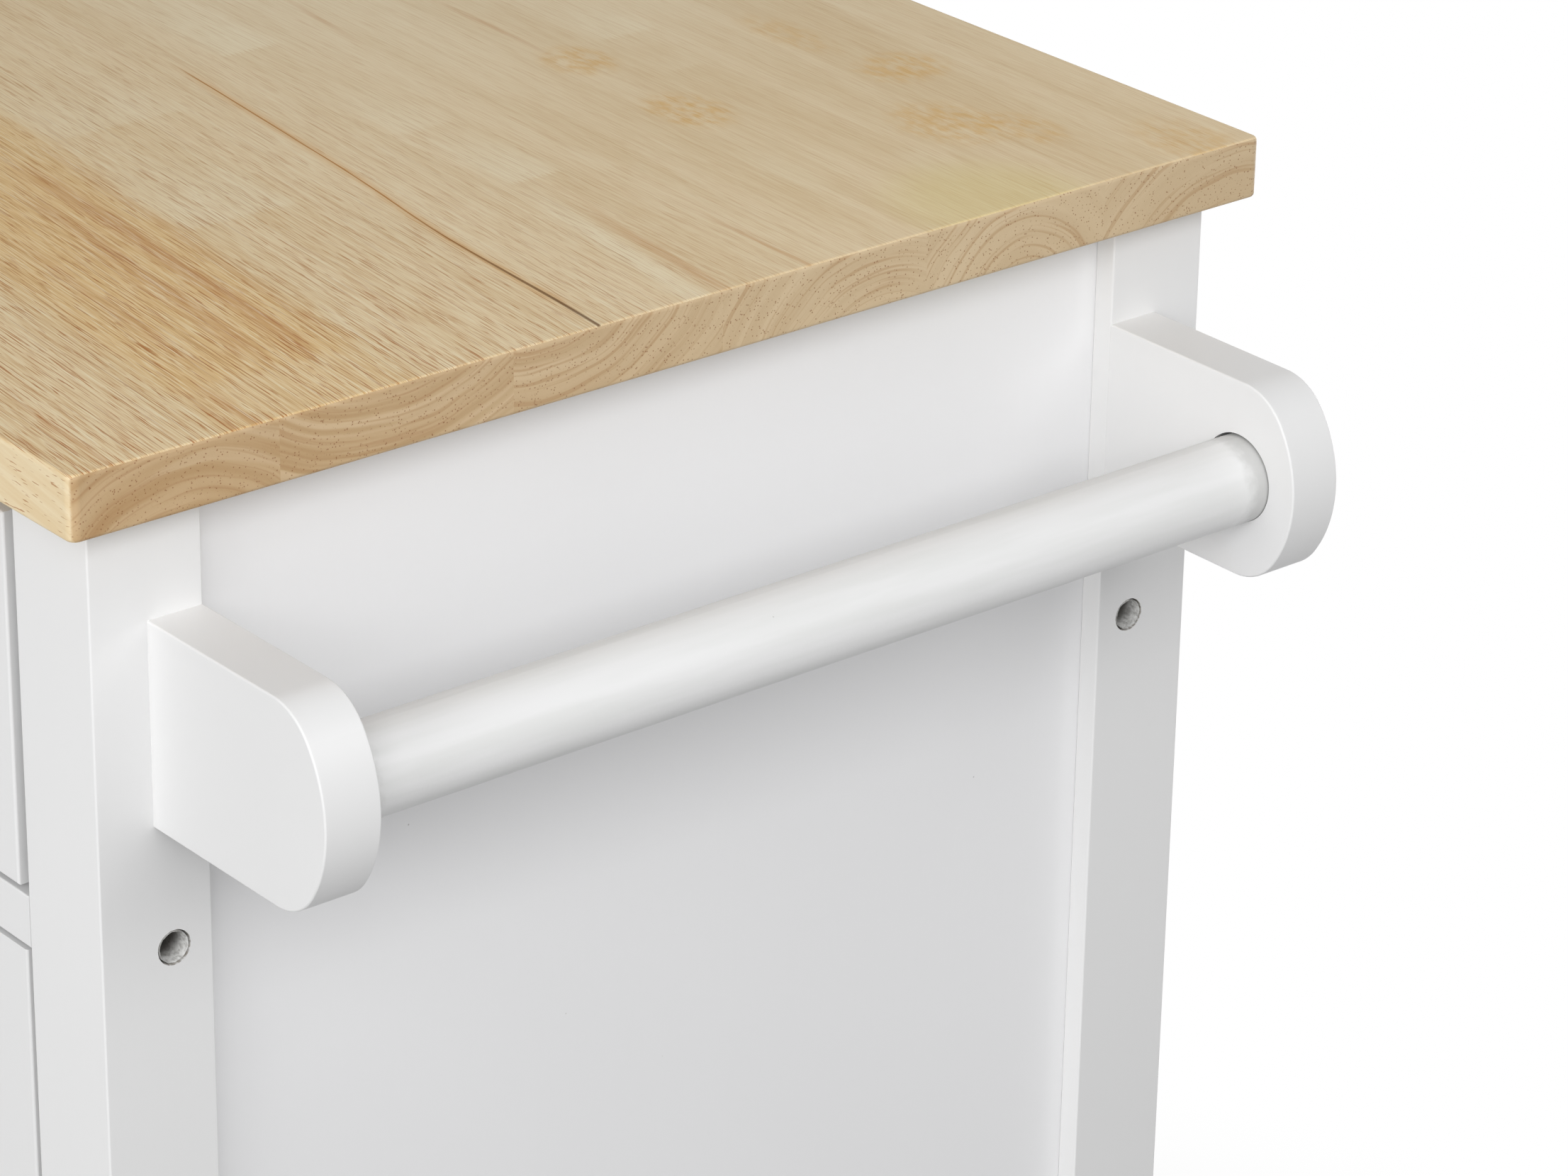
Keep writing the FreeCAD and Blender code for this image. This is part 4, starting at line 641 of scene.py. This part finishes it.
FINISHES = {
    "worktop_wood": WorktopWood().finished(),
    "post_paint": post_paint(),
    "panel_paint": Coat("panel_paint", (243, 243, 244), 0.34, 0.12).finished(),
    "rail_paint": Coat("rail_paint", (233, 233, 233), 0.36, 0.3, "x").finished(),
    # Painted shade: the brackets' white, shared by the door frames, is set darker than the panels'
    # to shade the noses
    "bracket_paint": Coat("bracket_paint", (233, 233, 233), 0.34, 0.15).finished(),
    "bar_paint": bar_paint(),
    "hole_raw": hole_lining_wood(),
    "dowel_wood": dowel_wood(),
    "zinc": plated("zinc", (196, 199, 204), (168, 171, 177), 0.28, (9, 9, 0.5)),
    "nickel": plated("nickel", (206, 202, 194), (182, 178, 170), 0.24, (7, 7, 0.4)),
    # Painted shade: a dark copy of the metal for the screws' cross recesses, too shallow to shade
    # themselves
    "screw_recess_shade": plated("screw_recess_shade", (96, 94, 90), (58, 56, 53), 0.5, (0.5, 0.5, 0.5)),
    "slide_coat": powder_coat(),
    "white_nylon": moulded("white_nylon", (236, 236, 232), (222, 222, 217), 0.38, 0.8),
    "wheel_plastic": wheel_plastic(),
    "pedal_plastic": moulded("pedal_plastic", (48, 48, 49), (30, 30, 31), 0.42, 0.6),
}

# The CAD nodes of each finish, by how their names start
FINISHED_NODES = {
    "worktop_wood": ("worktop",),
    "post_paint": ("post",),
    "panel_paint": ("side_panel", "back_panel", "bottom_panel", "shelf", "drawer_bottom",
                    "door_left_panel", "door_right_panel"),
    "rail_paint": ("support_battens", "front_rails", "rear_rails", "front_top_rail",
                   "rear_top_rail", "drawer_front", "drawer_back"),
    "bracket_paint": ("towel_bracket", "door_left_frame", "door_right_frame"),
    "bar_paint": ("towel_bar", "drawer_side"),
    "dowel_wood": ("top_rail_dowels",),
    "zinc": ("rail_bolts", "rail_barrel_nuts", "wood_screws", "shelf_pins", "caster_stems",
             "caster_inserts", "caster_fork", "door_left_strike", "door_right_strike"),
    "nickel": ("drawer_knob", "door_left_knob", "door_right_knob", "door_left_hinge",
               "door_right_hinge", "post_hinge_leaves", "hinge_pins"),
    "slide_coat": ("cabinet_slides", "drawer_slides"),
    "white_nylon": ("slide_roller", "magnetic_catches"),
    "wheel_plastic": ("caster_wheel",),
    "pedal_plastic": ("caster_brake",),
}


def finish_nodes():
    """Gives every CAD node its finish, by the longest start that its name has."""
    finish_of = {start: finish for finish, starts in FINISHED_NODES.items() for start in starts}
    for name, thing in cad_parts.items():
        start = max((start for start in finish_of if name.startswith(start)), key=len)
        for slot in thing.material_slots:
            slot.material = FINISHES[finish_of[start]]


# Camera, light and floor

# The camera stands above the front right corner and looks down at the towel bar
SENSOR_MM = 36.0
LENS_MM = 129.12
CAMERA_PLACE = (1.334044, -0.861497, 1.409466)
CAMERA_RIGHT = (0.636970, 0.770717, 0.016240)
CAMERA_UP = (-0.330051, 0.253617, 0.909254)
CAMERA_REACH = 50.0

# Lamps: name, place, target, width and height, watts
LAMPS = (
    ("front_right", (1.5, -1.5, 1.8), (0.2, -0.05, 0.7), (1.0, 1.0), 12.5),
    ("front", (0.7, -2.6, 1.35), (0.15, -0.1, 0.7), (1.4, 1.4), 28.5),
    ("right", (1.25, 0.0, 1.45), (0.25, 0.0, 0.7), (1.6, 0.6), 7.6),
    ("rear", (-0.4, 2.6, 0.46), (-0.1, 0.2, 0.45), (1.6, 0.72), 24.0),
    ("left", (-2.6, -0.3, 0.46), (-0.3, 0.0, 0.45), (1.6, 0.72), 22.0),
)
ROUND_LIGHT = 0.3
WHITE_LIGHT = (1, 1, 1, 1)

# The floor glows white far from the cart, and less under it, where the shadow is kept
FLOOR_HALF = 9.0
SHADOW_FROM_MM, SHADOW_TO_MM = 450, 1000
GLOW_UNDER_CART = 0.55
GLOW_ADDED_FAR_OFF = 0.45


def add_camera():
    """The camera of the main view."""
    lens = bpy.data.cameras.new("camera")
    lens.sensor_fit = "HORIZONTAL"
    lens.sensor_width = SENSOR_MM
    lens.lens = LENS_MM
    lens.clip_end = CAMERA_REACH
    camera = bpy.data.objects.new("camera", lens)
    right, up = Vector(CAMERA_RIGHT), Vector(CAMERA_UP)
    turn = Matrix((right, up, right.cross(up))).transposed()
    camera.matrix_world = Matrix.Translation(CAMERA_PLACE) @ turn.to_4x4()
    bpy.context.scene.collection.objects.link(camera)
    bpy.context.scene.camera = camera


def seen_directly(tree):
    """1 for rays that come straight, mirrored or through glass from the camera."""
    rays = [tree.node("LightPath", output=name) for name in
            ("Is Camera Ray", "Is Glossy Ray", "Is Transmission Ray")]
    return (rays[0] + rays[1] + rays[2]).least(1.0)


def add_world():
    """Soft light from all round, and a white background."""
    world = bpy.data.worlds.new("studio")
    world.use_nodes = True
    tree = Tree(world.node_tree)
    tree.nodes.clear()
    light, white = [tree.node("Background", sockets={"Color": WHITE_LIGHT, "Strength": strength})
                    for strength in (ROUND_LIGHT, 1.0)]
    mixed = tree.node("MixShader", sockets={0: seen_directly(tree), 1: light, 2: white})
    tree.node("OutputWorld", sockets={"Surface": mixed})
    bpy.context.scene.world = world


def add_lamp(name, place, target, size, power):
    """A large soft lamp."""
    data = bpy.data.lights.new(name, "AREA")
    data.shape = "RECTANGLE"
    data.size, data.size_y = size
    data.energy = power
    lamp = bpy.data.objects.new(name, data)
    lamp.visible_camera = False
    way = Vector(target) - Vector(place)
    turn = way.to_track_quat("-Z", "Y").to_matrix()
    lamp.matrix_world = Matrix.Translation(place) @ turn.to_4x4()
    bpy.context.scene.collection.objects.link(lamp)


def floor_white():
    """Pale floor that takes the cart's shadow and glows where the camera sees it."""
    tree = Finish("floor_white", Specular_IOR_Level=0.2)
    dapple = tree.cloud((900, 900, 900))
    colour = tree.mix(dapple, paint(170, 170, 170), paint(166, 166, 166))
    tree.surface(colour, 0.8 + dapple * 0.05)
    lit = Field(tree, tree.shader.outputs[0])
    glow = tree.node("Emission", sockets={"Color": WHITE_LIGHT, "Strength": 1.0})
    away = (tree.x * tree.x + tree.y * tree.y) ** 0.5
    far_off = away.rise(SHADOW_FROM_MM, SHADOW_TO_MM) * GLOW_ADDED_FAR_OFF
    share = seen_directly(tree) * (far_off + GLOW_UNDER_CART)
    mixed = tree.node("MixShader", sockets={0: share, 1: lit, 2: glow})
    tree.join(tree.nodes["Material Output"].inputs["Surface"], mixed)
    return tree.material


def add_floor():
    """A plain pale floor."""
    mesh = bpy.data.meshes.new("floor")
    turns = ((-1, -1), (1, -1), (1, 1), (-1, 1))
    corners = [(FLOOR_HALF * along, FLOOR_HALF * across, 0) for along, across in turns]
    mesh.from_pydata(corners, [], [(0, 1, 2, 3)])
    mesh.materials.append(floor_white())
    floor = bpy.data.objects.new("floor", mesh)
    bpy.context.scene.collection.objects.link(floor)


# Small fittings

# A lining of a bolt hole, in metres
LINING_LAYERS = 15
LINING_SIDES = 56
LINING_START = 0.0001
LINING_LENGTH = 0.0172
LINING_RADIUS = 0.00478
SEED_STEP = 11

# Tears of the lining: how deep in metres, how many round the hole, and how many per metre
COARSE_TEAR = (0.0002, 2.2, 420)
FINE_TEAR = (0.00012, 7, 1500)

# A screw head: how far it stands proud in metres, its dome as shares of radius and height, and its
# cross recess as shares of the radius and height
SCREW_PROUD = 0.00006
SCREW_SIDES = 40
SCREW_DOME = ((1.0, 0.0), (0.95, 0.7), (0.82, 1.0))
RECESS_ARM = 0.58
RECESS_HALF_WIDTH = 0.13
RECESS_TAPER = 0.86
RECESS_FLOOR = 0.3

# A screw is turned by this much for each millimetre of its place, so that no two look alike
SCREW_TURN = 0.7

# Screw places and radii in millimetres. A side has its name, the x of its two rows of screws, and
# the way towards the middle of the cart.
HINGE_SIDES = (("left", -286.5, -286.3, 1), ("right", 221.5, 221.3, -1))
HINGE_SCREW_Y = -175
HINGE_SCREW_HEIGHTS = (191, 223, 596, 628)
HINGE_SCREW_RADIUS = 2.4
SLIDE_SIDES = (("left", -286.3, -276.2, 1), ("right", 221.3, 211.2, -1))
SLIDE_SCREWS_Y = ((-118, -110), (12, 0), (140, 110))
CHANNEL_SCREW_HEIGHT = 748.1
ANGLE_SCREW_HEIGHT = 746.0
SLIDE_SCREW_RADIUS = 3.0
CATCH_SIDES = (("left", -75.5), ("right", 10.5))
STRIKE_SCREW_APART, STRIKE_SCREW_Y, STRIKE_SCREW_HEIGHT, STRIKE_SCREW_RADIUS = 9, -165, 707, 2.0
CATCH_SCREW_APART, CATCH_SCREW_Y, CATCH_SCREW_HEIGHT, CATCH_SCREW_RADIUS = 12, -156.5, 700.5, 2.6
KNOB_BODIES = {"drawer_knob": "drawer", "door_left_knob": "door_left",
               "door_right_knob": "door_right"}
KNOB_SCREW_RADIUS = 3.7


def add_piece(name, data, finish, body):
    """Makes an object from bmesh data, gives it a finish and lets it ride on a body."""
    mesh = bpy.data.meshes.new(name)
    data.to_mesh(mesh)
    data.free()
    for polygon in mesh.polygons:
        polygon.use_smooth = True
    piece = bpy.data.objects.new(name, mesh)
    mesh.materials.append(FINISHES[finish])
    bpy.context.scene.collection.objects.link(piece)
    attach(piece, body)
    return piece


def ring_walls(data, rings):
    """Joins rings of vertices with quads and returns them."""
    made = [[data.verts.new(point) for point in ring] for ring in rings]
    count = len(made[0])
    for first, second in zip(made, made[1:]):
        for index in range(count):
            after = (index + 1) % count
            data.faces.new((first[index], first[after], second[after], second[index]))
    return made


def torn(angle, depth, tear, seed):
    """How far torn wood stands out, round a hole and down it."""
    size, round_hole, per_metre = tear
    place = Vector((math.cos(angle) * round_hole, math.sin(angle) * round_hole,
                    depth * per_metre + seed))
    return size * (1 + noise.noise(place))


def hole_lining(mouth, inward, seed):
    """A ragged tube of torn wood inside a bolt hole."""
    data = bmesh.new()
    rings = []
    for layer in range(LINING_LAYERS):
        depth = LINING_START + LINING_LENGTH * layer / (LINING_LAYERS - 1)
        ring = []
        for index in range(LINING_SIDES):
            angle = 2 * math.pi * index / LINING_SIDES
            radius = (LINING_RADIUS - torn(angle, depth, COARSE_TEAR, seed)
                      - torn(angle, depth, FINE_TEAR, seed))
            ring.append((mouth[0] + inward * depth, mouth[1] + radius * math.cos(angle),
                         mouth[2] + radius * math.sin(angle)))
        rings.append(ring)
    ring_walls(data, rings)
    bmesh.ops.recalc_face_normals(data, faces=data.faces)
    return data


def add_hole_linings():
    """Linings of the eight bolt holes in the posts' outer faces."""
    seed = 0
    for side, face_x in HOLE_FACES_X.items():
        inward = 1 if side == "left" else -1
        for end, row_y in HOLE_ROWS_Y.items():
            for level, level_z in HOLE_LEVELS_Z.items():
                seed += SEED_STEP
                mouth = [distance / MM_PER_M for distance in (face_x, row_y, level_z)]
                data = hole_lining(mouth, inward, seed)
                name = f"hole_lining_{end}_{side}_{level}"
                add_piece(name, data, "hole_raw", "carcass")


def turned(along, aside, angle):
    """A flat place turned about the middle."""
    return (along * math.cos(angle) - aside * math.sin(angle),
            along * math.sin(angle) + aside * math.cos(angle))


def screw_head(centre, outward, radius, turn):
    """The head of a cross-head screw, flush but for a hair, with its recess."""
    data = bmesh.new()
    across = outward.orthogonal().normalized()
    upright = outward.cross(across)

    def spot(along, aside, height):
        along, aside = turned(along, aside, turn)
        return centre + across * along + upright * aside + outward * height

    angles = [2 * math.pi * index / SCREW_SIDES for index in range(SCREW_SIDES)]
    rings = [[spot(radius * share * math.cos(angle), radius * share * math.sin(angle),
                   SCREW_PROUD * rise) for angle in angles] for share, rise in SCREW_DOME]
    rim = ring_walls(data, rings)[-1]

    arm, half = radius * RECESS_ARM, radius * RECESS_HALF_WIDTH
    corners = [turned(along, aside, index * math.pi / 2) for index in range(4)
               for along, aside in ((arm, -half), (arm, half), (half, half))]
    dome_faces = len(data.faces)
    mouth, foot = ring_walls(data, [
        [spot(along * share, aside * share, SCREW_PROUD * rise) for along, aside in corners]
        for share, rise in ((1, 1), (RECESS_TAPER, RECESS_FLOOR))])
    data.faces.new(foot)
    data.faces.ensure_lookup_table()
    # The recess faces take the second finish, the painted shade of the recess
    for face in data.faces[dome_faces:]:
        face.material_index = 1
    edges = [data.edges.get((loop[index], loop[index - 1]))
             for loop in (rim, mouth) for index in range(len(loop))]
    bmesh.ops.triangle_fill(data, edges=edges, use_beauty=True, normal=outward)
    bmesh.ops.recalc_face_normals(data, faces=data.faces)
    return data


def add_screw(name, place, outward, radius, body, finish="zinc"):
    """A screw head at a place given in millimetres."""
    centre = Vector([distance / MM_PER_M for distance in place])
    data = screw_head(centre, Vector(outward), radius / MM_PER_M, sum(place) * SCREW_TURN)
    piece = add_piece(name, data, finish, body)
    # Painted shade: the recess faces take the dark recess finish
    piece.data.materials.append(FINISHES["screw_recess_shade"])


def add_hinge_screws():
    """Screws of the hinge leaves on the posts and on the doors."""
    for side, post_x, door_x, inward in HINGE_SIDES:
        for number, height in enumerate(HINGE_SCREW_HEIGHTS, 1):
            add_screw(f"hinge_screw_post_{side}_{number}", (post_x, HINGE_SCREW_Y, height),
                      (inward, 0, 0), HINGE_SCREW_RADIUS, "carcass", "nickel")
            add_screw(f"hinge_screw_door_{side}_{number}", (door_x, HINGE_SCREW_Y, height),
                      (-inward, 0, 0), HINGE_SCREW_RADIUS, f"door_{side}", "nickel")


def add_slide_screws():
    """Screws of the slides' channels on the cabinet and of their angles on the drawer."""
    for side, channel_x, angle_x, inward in SLIDE_SIDES:
        for number, (channel_y, angle_y) in enumerate(SLIDE_SCREWS_Y, 1):
            add_screw(f"slide_screw_cabinet_{side}_{number}",
                      (channel_x, channel_y, CHANNEL_SCREW_HEIGHT),
                      (inward, 0, 0), SLIDE_SCREW_RADIUS, "carcass")
            add_screw(f"slide_screw_drawer_{side}_{number}",
                      (angle_x, angle_y, ANGLE_SCREW_HEIGHT),
                      (-inward, 0, 0), SLIDE_SCREW_RADIUS, "drawer")


def add_catch_screws():
    """Screws of the strikes on the doors and of the catches on the cabinet."""
    for side, middle_x in CATCH_SIDES:
        for end, way in (("inner", 1), ("outer", -1)):
            strike_x = middle_x + way * STRIKE_SCREW_APART
            add_screw(f"strike_screw_{side}_{end}",
                      (strike_x, STRIKE_SCREW_Y, STRIKE_SCREW_HEIGHT),
                      (0, 1, 0), STRIKE_SCREW_RADIUS, f"door_{side}")
            catch_x = middle_x + way * CATCH_SCREW_APART
            add_screw(f"catch_screw_{side}_{end}",
                      (catch_x, CATCH_SCREW_Y, CATCH_SCREW_HEIGHT),
                      (0, 0, -1), CATCH_SCREW_RADIUS, "carcass")


def add_knob_screws():
    """Recesses of the screws that hold the knobs from inside."""
    for knob, body in KNOB_BODIES.items():
        low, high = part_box(knob)
        place = ((low.x + high.x) * MM_PER_M / 2, high.y * MM_PER_M,
                 (low.z + high.z) * MM_PER_M / 2)
        add_screw(f"{knob}_screw_head", place, (0, 1, 0), KNOB_SCREW_RADIUS, body)


finish_nodes()
add_hole_linings()
add_hinge_screws()
add_slide_screws()
add_catch_screws()
add_knob_screws()
add_camera()
add_world()
for lamp in LAMPS:
    add_lamp(*lamp)
add_floor()
bpy.context.scene.view_settings.view_transform = "Standard"
